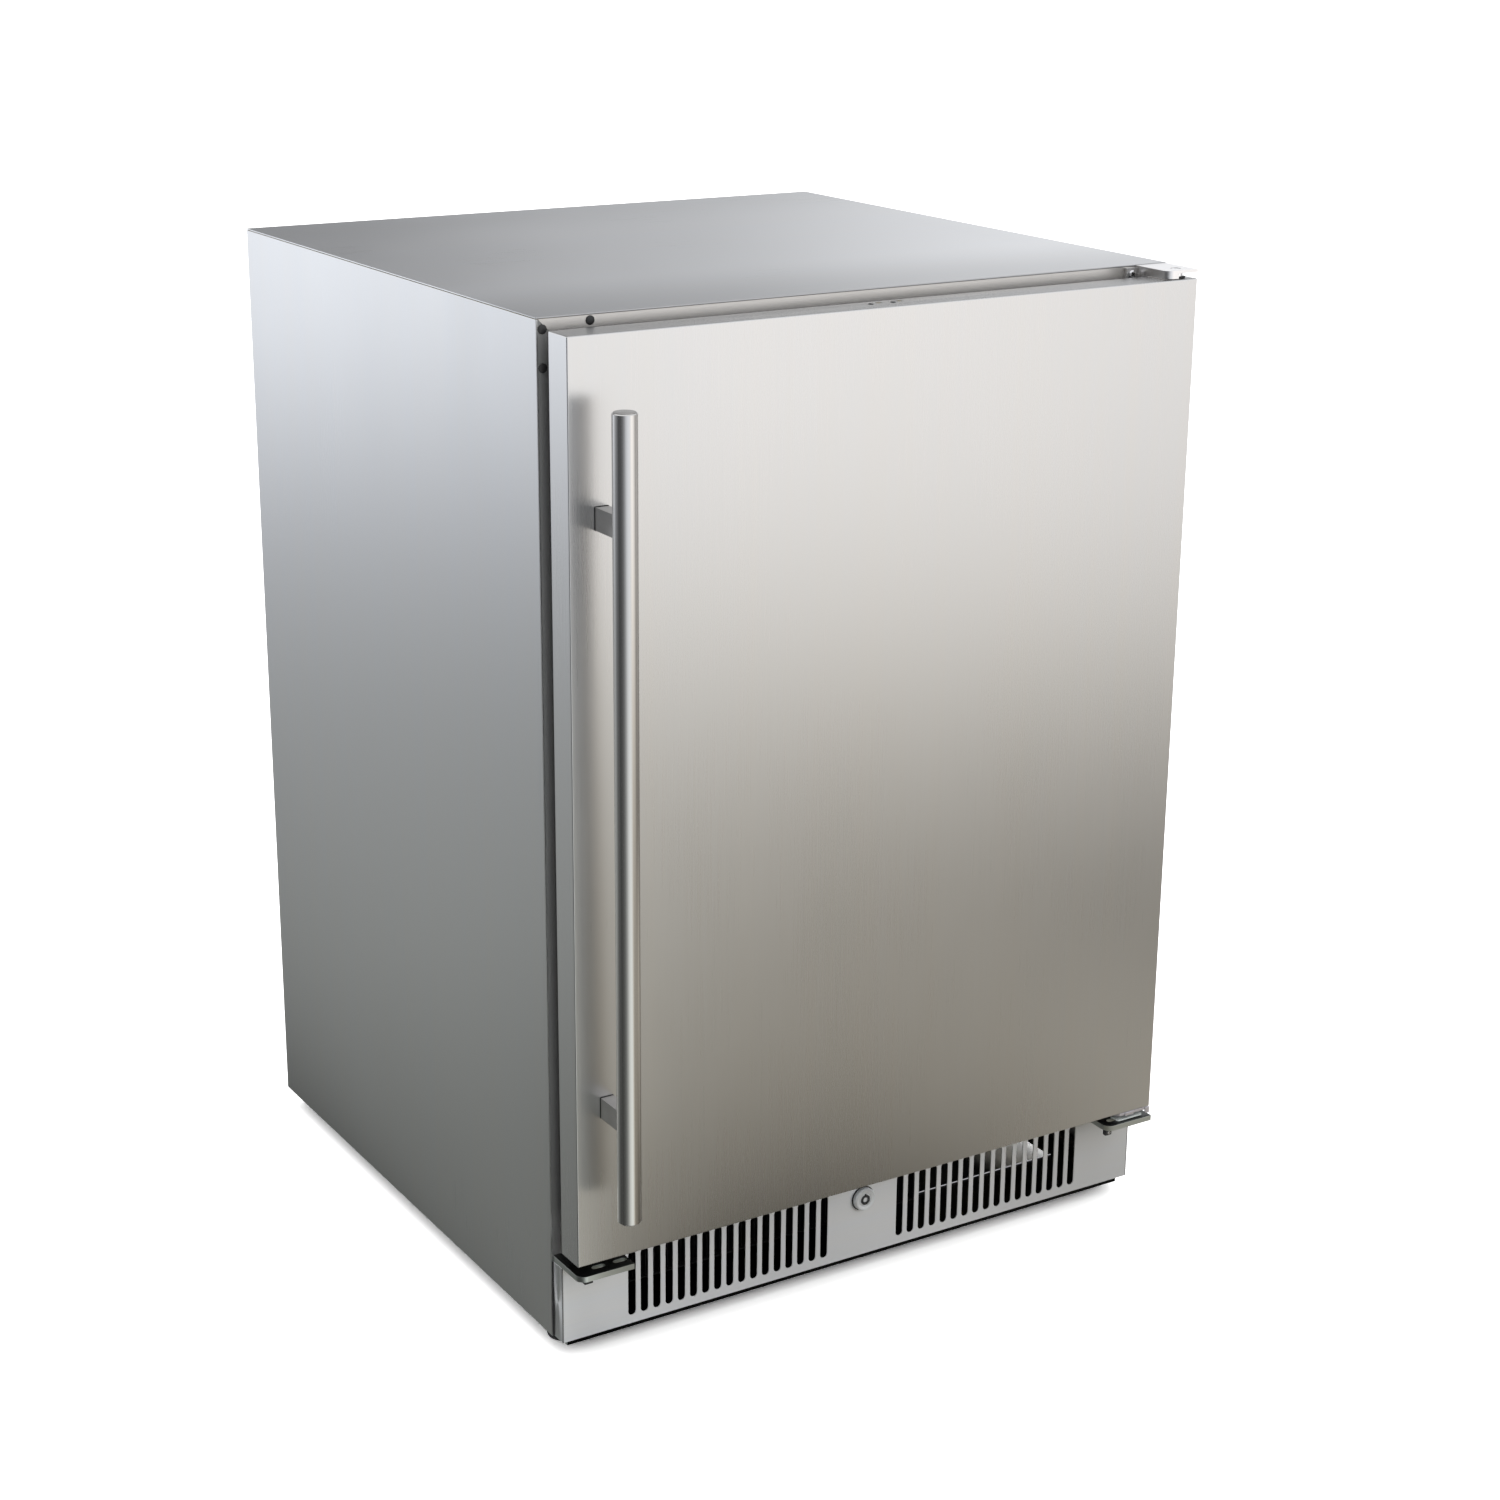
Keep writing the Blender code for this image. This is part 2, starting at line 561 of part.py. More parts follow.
def make_top_hinge(root):
    """The top bracket: a formed cap over the door's corner, a foot on the rail and a leg down the flange."""
    left, right, front = 0.2670, 0.2995, -0.0420
    under, top, radius = 0.8470, HEIGHT - 0.0005, 0.007
    outline = [(right, -GAP), (left, -GAP)] + arc((left + radius, front + radius), radius, 180, 270, 6)
    outline += [(right, front)]
    hole = circle((HINGE_X, HINGE_Y), PIN_RADIUS + GAP, 20)
    bracket = plate("top_hinge_bracket", [outline, hole], "Z", under, top)
    skirt_low, wall = DOOR_HIGH + 0.0006, 0.002
    skirt_right, skirt_back = 0.2790, -0.004
    corner = (left + radius, front + radius)
    skirt = [(left, skirt_back)] + arc(corner, radius, 180, 270, 6) + [(skirt_right, front)]
    skirt += [(skirt_right, front + wall)] + arc(corner, radius - wall, 270, 180, 6)
    skirt += [(left + wall, skirt_back)]
    join(bracket, plate("skirt", [skirt], "Z", skirt_low, under + 0.001))
    join(bracket, block("foot", (0.2550, -0.0030, 0.8380), (0.2990, -GAP, under + 0.001)))
    join(bracket, block("leg", (0.2880, -0.00295, 0.8000), (0.2990, -0.00035, 0.8390)))
    cut(bracket, rod("cutter", (0.2605, 0, 0.8427), 0.0024, -0.01, 0.01, "Y", 16))
    settle(bracket, STEEL, root)

    radius, collar = PIN_RADIUS, 0.0065
    profile = [(0, 0.8492), (radius, 0.8492), (radius, 0.8467), (collar, 0.8467), (collar, 0.8436)]
    profile += [(radius, 0.8436), (radius, 0.8290), (radius - 0.001, 0.8275), (0, 0.8275)]
    pin = lathe("top_hinge_pin", profile, (HINGE_X, HINGE_Y, 0), "Z", 20)
    settle(pin, CHROME, root, smooth=True)

    place = (0.2605, 0, 0.8427)
    head, stem = 0.0036, 0.0021
    profile = [(0, -0.0052), (0.0020, -0.0050), (head, -0.0036), (head, -0.0033), (stem, -0.0033)]
    profile += [(stem, 0.0016), (0, 0.0016)]
    screw = lathe("top_hinge_screw", profile[::-1], place, "Y", 12)
    for size in ((0.0022, 0.0005), (0.0005, 0.0022)):
        low = (place[0] - size[0], -0.008, place[2] - size[1])
        high = (place[0] + size[0], -0.0043, place[2] + size[1])
        cut(screw, block("cutter", low, high))
    settle(screw, CHROME, root)


def make_base(root):
    """The base tray with its edges turned down and an air opening, and the four levelling feet in it."""
    tray = block("base_tray", (-TRAY_X, TRAY_FRONT, TRAY_LOW), (TRAY_X, TRAY_BACK, TRAY_TOP))
    wall = 0.0015
    hollow_low = (-TRAY_X + wall, TRAY_FRONT + wall, TRAY_LOW - 0.01)
    cut(tray, block("cutter", hollow_low, (TRAY_X - wall, TRAY_BACK - wall, TRAY_TOP - wall)))
    cut(tray, block("cutter", (0.115, 0.056, -0.01), (0.2645, 0.400, 0.01)))
    stem = 0.004
    for x, y in FOOT_PLACES.values():
        cut(tray, rod("cutter", (x, y, 0), stem + GAP, -0.01, 0.01, "Z", 16))
    settle(tray, BLACK_METAL, root)
    floor, disc_top = -FOOT_LIFT, -0.0095
    radius = FOOT_RADIUS
    profile = [(0, 0.0200), (stem, 0.0200), (stem, disc_top + 0.0015), (0.0080, disc_top), (radius, disc_top)]
    profile += [(radius, floor + 0.0025), (radius - 0.0025, floor), (0, floor)]
    for name, (x, y) in FOOT_PLACES.items():
        foot = lathe(f"foot_{name}", profile, (x, y, 0), "Z", 16)
        settle(foot, BLACK, root, origin=(x, y, disc_top), smooth=True)


def make_machine(root):
    """Compressor and condenser with its fan on the base tray, and the drain pan on the compressor's top."""
    place = (0.090, 0.465, 0)
    profile = [(0, 0.190), (0.030, 0.188), (0.055, 0.176), (0.070, 0.150), (0.074, 0.110), (0.0765, 0.108)]
    profile += [(0.0765, 0.104), (0.074, 0.102), (0.073, 0.060), (0.064, 0.034), (0.040, 0.020), (0, 0.018)]
    compressor = lathe("compressor", profile, place, "Z", 24)
    for side in (-1, 1):
        x = sorted((place[0] + side * 0.030, place[0] + side * 0.088))
        join(compressor, block("mount", (x[0], place[1] - 0.045, 0.022), (x[1], place[1] + 0.045, 0.026)))
        for y in (-0.036, 0.036):
            grommet = (place[0] + side * 0.078, place[1] + y, 0)
            join(compressor, rod("grommet", grommet, 0.008, GAP - 0.0002, 0.0225, "Z", 10))
    settle(compressor, BLACK_METAL, root, smooth=True)

    low, high = (-0.235, 0.040, 0.004), (0.095, 0.078, 0.092)
    condenser = block("condenser", low, (high[0], low[1] + 0.0012, high[2]))
    window_low = (low[0] + 0.006, 0.03, low[2] + 0.006)
    cut(condenser, block("cutter", window_low, (high[0] - 0.006, 0.05, high[2] - 0.006)))
    tube_count, fin_count = 4, 9
    for i in range(tube_count):
        z = low[2] + 0.012 + i * 0.0195
        join(condenser, block("tube", (low[0], low[1] + 0.0006, z), (high[0], high[1], z + 0.006)))
    for i in range(fin_count):
        x = low[0] + 0.010 + i * (high[0] - low[0] - 0.022) / (fin_count - 1)
        fin_low = (x, low[1] + 0.0004, low[2] + 0.003)
        join(condenser, block("fin", fin_low, (x + 0.0015, high[1] - 0.001, high[2] - 0.003)))
    settle(condenser, BLACK_METAL, root)

    fan_centre = (-0.070, 0, 0.048)
    motor = rod("condenser_fan_motor", fan_centre, 0.020, 0.118, 0.150, "Y", 20)
    join(motor, block("stand", (-0.085, 0.124, 0.0), (-0.055, 0.144, 0.034)))
    settle(motor, BLACK_METAL, root, smooth=True)
    make_fan("condenser_fan", fan_centre, 0.041, 0.092, 0.116, 6, root)

    half, wall, low, high = 0.070, 0.0015, 0.1903, 0.2320
    pan_high = (place[0] + half, place[1] + half, high)
    pan = block("drain_pan", (place[0] - half, place[1] - half, low), pan_high)
    hollow = half - wall
    hollow_low = (place[0] - hollow, place[1] - hollow, low + wall)
    cut(pan, block("cutter", hollow_low, (place[0] + hollow, place[1] + hollow, high + 0.01)))
    collar = [(0.0565, low + 0.0005), (0.0585, low + 0.0005), (0.0585, 0.1780), (0.0565, 0.1780)]
    join(pan, lathe("collar", collar, (place[0], place[1], 0), "Z", 24))
    settle(pan, WHITE, root)


def make_rear(root):
    """The rear access cover with its vents, and the power inlet set into it."""
    inside = WIDTH / 2 - SHEET - GAP
    low, high = DEPTH - 0.0015, DEPTH
    vents = [upright_slot(x * 0.020, 0.180, 0.260, 0.008) for x in range(-9, 10)]
    x, z = inlet = (-0.230, 0.070)
    half = (0.0245, 0.0150)

    def inlet_block(name, half_x, half_z, front, back):
        return block(name, (x - half_x, front, z - half_z), (x + half_x, back, z + half_z))

    window = rectangle((x - half[0], z - half[1]), (x + half[0], z + half[1]))
    outline = rectangle((-inside, 0.001), (inside, 0.3045))
    settle(plate("rear_cover", [outline, window] + vents, "Y", low, high), GALVANISED, root)

    body = inlet_block("power_inlet", 0.029, 0.0195, low - GAP - 0.002, low - GAP)
    inner, wall = (half[0] - GAP, half[1] - GAP), 0.003
    join(body, inlet_block("socket", *inner, low - 0.022, DEPTH))
    cut(body, inlet_block("cutter", inner[0] - wall, inner[1] - wall, low - 0.018, DEPTH + 0.01))
    for pin_x, pin_z in ((-0.007, -0.002), (0, 0.004), (0.007, -0.002)):
        centre = (inlet[0] + pin_x, inlet[1] + pin_z)
        low_corner = (centre[0] - 0.001, low - 0.019, centre[1] - 0.002)
        join(body, block("blade", low_corner, (centre[0] + 0.001, DEPTH - 0.003, centre[1] + 0.002)))
    settle(body, BLACK, root)


def make_door(door):
    """The door: a stainless pan filled with foam, closed by a moulded inner panel with the seal on it."""
    x, thick = DOOR_X, SHEET
    skin = block("door_skin", (-x, DOOR_FRONT, DOOR_LOW), (x, DOOR_BACK, DOOR_HIGH))
    inner_low = (-x + thick, DOOR_FRONT + thick, DOOR_LOW + thick)
    cut(skin, block("cutter", inner_low, (x - thick, 0.01, DOOR_HIGH - thick)))
    hinge = (HINGE_X, HINGE_Y, 0)
    bush_hole = 0.0068
    cut(skin, rod("cutter", hinge, bush_hole, DOOR_HIGH - 0.01, DOOR_HIGH + 0.01, "Z", 20))
    cut(skin, rod("cutter", hinge, 0.0052, DOOR_LOW - 0.01, DOOR_LOW + 0.01, "Z", 20))
    for side in (-1, 1):
        place = (side * 0.010, DOOR_FRONT + 0.021, 0)
        cut(skin, rod("cutter", place, 0.0022, DOOR_HIGH - 0.01, DOOR_HIGH + 0.01, "Z", 12))
    settle(skin, STEEL, door)

    dyke_x, dyke_low, dyke_high, dyke_back = 0.240, 0.150, 0.786, 0.012
    flange_x, flange_low, flange_high = 0.2962, DOOR_LOW + 0.0015, DOOR_HIGH - 0.0015
    panel_front, wall = DOOR_BACK + GAP, 0.0012
    panel_low, panel_high = (-flange_x, panel_front, flange_low), (flange_x, panel_front + wall, flange_high)
    panel = block("door_inner_panel", panel_low, panel_high)
    join(panel, block("dyke", (-dyke_x, panel_front + 0.0006, dyke_low), (dyke_x, dyke_back, dyke_high)))
    pocket_low = (-dyke_x + wall, panel_front - 0.01, dyke_low + wall)
    cut(panel, block("cutter", pocket_low, (dyke_x - wall, dyke_back - wall, dyke_high - wall)))
    settle(panel, WHITE, door)

    edge = x - thick - GAP
    foam_low = (-edge, DOOR_FRONT + thick + GAP, DOOR_LOW + thick + GAP)
    foam = block("door_foam", foam_low, (edge, DOOR_BACK, DOOR_HIGH - thick - GAP))
    clear = wall + GAP
    core_low = (-dyke_x + clear, DOOR_BACK - 0.001, dyke_low + clear)
    join(foam, block("core", core_low, (dyke_x - clear, dyke_back - clear, dyke_high - clear)))
    cut(foam, rod("cutter", hinge, bush_hole, 0.8240, DOOR_HIGH, "Z", 20))
    cut(foam, rod("cutter", hinge, 0.0052, DOOR_LOW, 0.1010, "Z", 20))
    settle(foam, FOAM, door)

    seal_out, seal_in, front, back = 0.2830, 0.2630, panel_front + wall + GAP, -GAP
    low, high = 0.1035, 0.8310
    width = seal_out - seal_in
    ring = rectangle((-seal_in, low + width), (seal_in, high - width))
    seal = plate("door_seal", [rectangle((-seal_out, low), (seal_out, high)), ring], "Y", front, back)
    settle(seal, RUBBER, door)

    bore, body, head = 0.0044, 0.0065, 0.0085
    head_low, head_high = DOOR_HIGH + 0.0002, DOOR_HIGH + 0.0010
    profile = [(bore, 0.8260), (body, 0.8260), (body, head_low), (head, head_low)]
    profile += [(head, head_high), (bore, head_high)]
    bush = lathe("door_bush_upper", profile[::-1], hinge, "Z", 20)
    settle(bush, BLACK, door, origin=(HINGE_X, HINGE_Y, DOOR_HIGH), smooth=True)
    low, high = 0.0783, DOOR_LOW - GAP
    outline = [(0.2600, -0.0170), (0.2600, -0.0428), (0.2965, -0.0428), (0.2965, -0.0170)]
    screw_hole = circle((0.2680, -0.0300), 0.0022, 12)
    hole = circle((HINGE_X, HINGE_Y), PIN_RADIUS + GAP, 20)
    lower_plate = plate("door_hinge_plate", [outline, hole, screw_hole], "Z", low, high)
    settle(lower_plate, STEEL, door)


def make_handle(door):
    """A round bar on two rectangular posts, each held by a screw from inside the door."""
    x, half_length = -0.270, 0.3275
    centre = (x, HANDLE_AXIS_Y, DOOR_MIDDLE)
    radius, chamfer = HANDLE_RADIUS, 0.0008
    profile = [(0, half_length), (radius - chamfer, half_length), (radius, half_length - chamfer)]
    profile += [(radius, chamfer - half_length), (radius - chamfer, -half_length), (0, -half_length)]
    settle(lathe("handle_bar", profile, centre, "Z", 32), STEEL, door, smooth=True)
    half_width, half_height = 0.006, 0.009
    for name, side in (("upper", 1), ("lower", -1)):
        z = DOOR_MIDDLE + side * 0.2415
        low = (x - half_width, HANDLE_AXIS_Y, z - half_height)
        post = block(f"handle_post_{name}", low, (x + half_width, DOOR_FRONT - GAP, z + half_height))
        cut(post, rod("cutter", (x, HANDLE_AXIS_Y, z), radius + GAP, -0.02, 0.02, "Z", 32))
        settle(post, STEEL, door)


def main():
    clear_scene()
    front_plane = -(DEPTH + HANDLE_AXIS_Y - HANDLE_RADIUS) / 2
    root = empty("cabinet_origin", (0, front_plane, FOOT_LIFT))
    door = empty("door_axis", (HINGE_X, HINGE_Y, 0), root)
    make_shell(root)
    make_insulation(root)
    make_liner(root)
    make_shelves(root)
    make_evaporator(root)
    make_controls(root)
    make_kick_plate(root)
    make_lock(root, door)
    make_lower_brackets(root)
    make_top_hinge(root)
    make_base(root)
    make_machine(root)
    make_rear(root)
    make_door(door)
    make_handle(door)


main()
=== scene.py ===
"""The undercounter refrigerator's looks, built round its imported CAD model.

Lengths are metres. Positions measured on the cabinet are written in cabinet coordinates (x from the
middle, y from the cabinet's front plane, z from the side panels' lower edge) and turned into the
row frame by place(), which reads the CAD boxes.
"""

import math
import bmesh
import bpy
from mathutils import Matrix, Vector


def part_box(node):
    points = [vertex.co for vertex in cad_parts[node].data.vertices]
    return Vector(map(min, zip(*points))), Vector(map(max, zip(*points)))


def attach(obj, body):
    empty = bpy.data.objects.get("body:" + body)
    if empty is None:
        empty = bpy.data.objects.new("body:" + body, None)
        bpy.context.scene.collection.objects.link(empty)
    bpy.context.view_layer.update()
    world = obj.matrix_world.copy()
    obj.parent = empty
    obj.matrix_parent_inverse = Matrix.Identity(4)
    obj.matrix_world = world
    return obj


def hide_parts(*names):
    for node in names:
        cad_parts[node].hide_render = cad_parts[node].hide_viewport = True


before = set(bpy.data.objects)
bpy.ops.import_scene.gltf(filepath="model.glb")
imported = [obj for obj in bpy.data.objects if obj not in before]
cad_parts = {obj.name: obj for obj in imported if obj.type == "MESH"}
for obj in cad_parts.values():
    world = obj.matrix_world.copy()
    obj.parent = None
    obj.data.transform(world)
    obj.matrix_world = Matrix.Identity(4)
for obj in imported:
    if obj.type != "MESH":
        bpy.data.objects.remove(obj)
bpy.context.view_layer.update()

side_low, side_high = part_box("side_panel_left")
FRONT_Y, BASE_Z = side_low.y, side_low.z


def place(x, y, z):
    """A point in cabinet coordinates, in the row frame."""
    return Vector((x, y + FRONT_Y, z + BASE_Z))


# ---- shader nodes


class Tree:
    """A node tree with short ways to add and join nodes."""

    def __init__(self, tree):
        self.tree = tree

    def add(self, kind, inputs=None, **settings):
        made = self.tree.nodes.new(kind)
        for key, value in settings.items():
            setattr(made, key, value)
        for key, value in (inputs or {}).items():
            self.feed(made.inputs[key], value)
        return made

    def feed(self, socket, value):
        if isinstance(value, bpy.types.NodeSocket):
            self.tree.links.new(value, socket)
        else:
            socket.default_value = value

    def math(self, operation, *values, clamp=False):
        made = self.add("ShaderNodeMath", operation=operation, use_clamp=clamp)
        for socket, value in zip(made.inputs, values):
            self.feed(socket, value)
        return made.outputs[0]

    def times(self, one, other):
        return self.math("MULTIPLY", one, other)

    def minus(self, one, other):
        return self.math("SUBTRACT", one, other)

    def plus(self, one, other):
        return self.math("ADD", one, other)

    def remap(self, value, low, high, to_low=0.0, to_high=1.0, smooth=False):
        made = self.add("ShaderNodeMapRange", {"Value": value}, clamp=True)
        made.interpolation_type = "SMOOTHSTEP" if smooth else "LINEAR"
        for key, number in zip(("From Min", "From Max", "To Min", "To Max"), (low, high, to_low, to_high)):
            made.inputs[key].default_value = number
        return made.outputs[0]

    def ramp(self, value, stops, mode="EASE"):
        """A colour ramp. Stops are (position, grey) or (position, (r, g, b))."""
        made = self.add("ShaderNodeValToRGB", {"Fac": value})
        made.color_ramp.interpolation = mode
        while len(made.color_ramp.elements) < len(stops):
            made.color_ramp.elements.new(1.0)
        for element, (position, colour) in zip(made.color_ramp.elements, stops):
            element.position = position
            rgb = (colour,) * 3 if isinstance(colour, (int, float)) else colour
            element.color = (*rgb, 1.0)
        return made.outputs["Color"]

    def mix(self, factor, one, other, blend="MIX"):
        made = self.add("ShaderNodeMix", data_type="RGBA", blend_type=blend)
        for key, value in (("Factor_Float", factor), ("A_Color", one), ("B_Color", other)):
            socket = next(s for s in made.inputs if s.identifier == key)
            self.feed(socket, (*value, 1.0) if isinstance(value, tuple) and len(value) == 3 else value)
        return next(s for s in made.outputs if s.identifier == "Result_Color")

    def split(self, vector):
        """The x, y and z outputs of a vector."""
        return self.add("ShaderNodeSeparateXYZ", {0: vector}).outputs

    def channels(self, colour):
        return self.add("ShaderNodeSeparateColor", {"Color": colour}).outputs

    def scaled(self, colour, value):
        made = self.add("ShaderNodeVectorMath", operation="SCALE")
        self.feed(made.inputs[0], colour)
        self.feed(made.inputs["Scale"], value)
        return made.outputs[0]

    def mottled(self, shader, value, dark, light, colour, low=0.3, high=0.7):
        """The shader's colour goes from dark to light times colour, as value goes from low to high."""
        factor = self.remap(value, low, high)
        self.feed(shader.inputs["Base Color"], self.mix(factor, shade(dark, colour), shade(light, colour)))

    def relief(self, shader, height, strength, distance=0.0002):
        made = self.add("ShaderNodeBump", {"Strength": strength, "Distance": distance, "Height": height})
        self.feed(shader.inputs["Normal"], made.outputs[0])

    def noise(self, vector, scale, detail=2.0, rough=0.5):
        """Noise whose features are 1 / scale metres long along each axis."""
        mapping = self.add("ShaderNodeMapping", {"Vector": vector, "Scale": scale})
        made = self.add("ShaderNodeTexNoise", {"Vector": mapping.outputs[0]}, noise_dimensions="3D")
        made.inputs["Scale"].default_value = 1.0
        made.inputs["Detail"].default_value = detail
        made.inputs["Roughness"].default_value = rough
        return made.outputs["Fac"]


def new_material(name):
    material = bpy.data.materials.new(name)
    material.use_nodes = True
    tree = Tree(material.node_tree)
    shader = material.node_tree.nodes["Principled BSDF"]
    position = tree.add("ShaderNodeTexCoord").outputs["Object"]
    return material, tree, shader, position


def shade(value, colour):
    return tuple(c * value for c in colour)


def brushed_steel(name, grain, colour, roughness, anisotropy=0.5, painted_fades=(), shade_and_paint=None, rougher=0.0):
    """Brushed sheet steel. grain is the axis along which its scratches run.

    Each fade is (axis, where, where, level, level): the colour is painted darker or brighter along that
    axis, as painted shade and painted highlight.
    One more function of (tree, position) gives a colour factor, which is painted shade for most sheets and
    black paint for the base tray, and rougher says how much its loss adds to their roughness.
    """
    material, tree, shader, position = new_material(name)
    across, along = 1300.0, 9.0
    scale = [along if axis == grain else across for axis in "XYZ"]
    hairline = tree.noise(position, scale, 3.0, 0.6)
    streaks = tree.noise(position, [v / 18 for v in scale], 3.0, 0.55)
    clouds = tree.noise(position, (5.0, 5.0, 3.0), 3.0, 0.55)
    lines = tree.remap(hairline, 0.25, 0.75, 0.990, 1.010)
    bands = tree.remap(streaks, 0.25, 0.75, 0.994, 1.006)
    haze = tree.remap(clouds, 0.3, 0.7, 0.985, 1.015)
    value = tree.times(tree.times(lines, bands), haze)
    # Painted shade and painted highlight: each fade darkens or brightens the colour along an axis.
    for axis, *numbers in painted_fades:
        fade = tree.remap(tree.split(position)[axis], *numbers, smooth=True)
        value = tree.times(value, fade)
    extra = 0.0
    # One more colour factor: painted shade on most sheets, black paint on the base tray.
    if shade_and_paint:
        factor = shade_and_paint(tree, position)
        value = tree.times(value, factor)
        extra = tree.times(tree.minus(1.0, factor), rougher)
    warmer = shade(0.99, (colour[0] * 1.01, colour[1], colour[2] * 0.985))
    tint = tree.mix(tree.remap(streaks, 0.3, 0.7), colour, warmer)
    tree.feed(shader.inputs["Base Color"], tree.scaled(tint, value))
    shader.inputs["Metallic"].default_value = 1.0
    rough_lines = tree.remap(hairline, 0.2, 0.8, -0.02, 0.02)
    rough_clouds = tree.remap(clouds, 0.3, 0.7, roughness - 0.02, roughness + 0.02)
    rough = tree.plus(rough_lines, rough_clouds)
    tree.feed(shader.inputs["Roughness"], tree.plus(rough, extra))
    tree.relief(shader, hairline, 0.015)
    shader.inputs["Anisotropic"].default_value = anisotropy
    tangent = tree.add("ShaderNodeTangent", direction_type="RADIAL", axis="Z" if grain == "Z" else "X")
    tree.feed(shader.inputs["Tangent"], tangent.outputs[0])
    return material


def moulded(name, colour, roughness, grain_size=0.0012, bump=0.15, coat=0.0, blotch=0.06):
    """Moulded plastic with a fine spark-eroded texture, a little dustier in patches."""
    material, tree, shader, position = new_material(name)
    pores = tree.noise(position, (1 / grain_size,) * 3, 2.0, 0.5)
    patches = tree.noise(position, (9.0, 9.0, 9.0), 3.0, 0.6)
    tree.mottled(shader, patches, 1 - blotch, 1 + blotch, colour)
    tree.feed(shader.inputs["Roughness"], tree.remap(patches, 0.3, 0.7, roughness - 0.05, roughness + 0.05))
    tree.relief(shader, pores, bump, 0.0003)
    shader.inputs["Coat Weight"].default_value = coat
    return material


def plated(name, colour, roughness):
    """Plated or polished metal with faint smudges."""
    material, tree, shader, position = new_material(name)
    smudge = tree.noise(position, (60.0, 60.0, 60.0), 4.0, 0.6)
    tree.mottled(shader, smudge, 0.92, 1.04, colour)
    tree.feed(shader.inputs["Roughness"], tree.remap(smudge, 0.3, 0.7, roughness - 0.04, roughness + 0.06))
    shader.inputs["Metallic"].default_value = 1.0
    tree.relief(shader, smudge, 0.05)
    return material


def galvanised(name, colour):
    """Zinc-coated sheet with its spangle."""
    material, tree, shader, position = new_material(name)
    cells = tree.add("ShaderNodeTexVoronoi", {"Vector": position, "Scale": 110.0, "Randomness": 1.0})
    flakes = tree.channels(cells.outputs["Color"])[0]
    clouds = tree.noise(position, (7.0, 7.0, 7.0), 3.0, 0.6)
    value = tree.plus(tree.times(flakes, 0.5), tree.times(clouds, 0.5))
    tree.mottled(shader, value, 0.86, 1.08, colour, 0.2, 0.8)
    tree.feed(shader.inputs["Roughness"], tree.remap(flakes, 0.0, 1.0, 0.38, 0.55))
    shader.inputs["Metallic"].default_value = 0.9
    tree.relief(shader, flakes, 0.06)
    return material


def glowing(name, colour, strength):
    """A surface that glows, a little uneven: the display's lit figures, and a painted highlight along the
    base opening's edge.
    """
    material, tree, shader, position = new_material(name)
    uneven = tree.noise(position, (400.0, 400.0, 400.0), 2.0)
    tree.feed(shader.inputs["Emission Color"], tree.mix(uneven, shade(0.8, colour), colour))
    shader.inputs["Emission Strength"].default_value = strength
    tree.feed(shader.inputs["Base Color"], tree.mix(uneven, shade(0.1, colour), shade(0.2, colour)))
    return material


def flange_painted_shade(tree, position):
    """The side panels' front flanges, which face the door, are painted darker, as painted shade from the
    narrow gap by the door, and are made rougher.
    """
    spot = tree.split(position)
    front = tree.math("LESS_THAN", spot[1], FRONT_Y + 0.0011)
    inside = tree.math("LESS_THAN", tree.math("ABSOLUTE", spot[0]), 0.2986)
    return tree.minus(1.0, tree.times(tree.times(front, inside), 0.20))


def upward_painted_shade(loss):
    """A sheet whose faces that look up are painted darker by loss, as painted shade on its upper faces."""
    def factor(tree, position):
        normal = tree.add("ShaderNodeNewGeometry").outputs["Normal"]
        upward = tree.math("GREATER_THAN", tree.split(normal)[2], 0.8)
        return tree.minus(1.0, tree.times(upward, loss))

    return factor


def returns_painted_shade(tree, position):
    """The toe grille's end returns are painted darker than its face, and darkest along the bend: painted
    shade.
    """
    spot = tree.split(position)
    across = tree.math("ABSOLUTE", spot[0])
    bend = tree.math("GREATER_THAN", across, 0.2970)
    side = tree.math("GREATER_THAN", spot[1], FRONT_Y - 0.0148)
    loss = tree.math("MULTIPLY_ADD", side, 0.12 - 0.72, 0.72)
    return tree.minus(1.0, tree.times(bend, loss))


def dull_tray(tree, position):
    """The base tray is painted black, but for its upturned side edges."""
    across = tree.math("ABSOLUTE", tree.split(position)[0])
    side = tree.math("GREATER_THAN", across, -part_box("base_tray")[0].x - 0.0003)
    return tree.math("MULTIPLY_ADD", side, 0.985, 0.015)


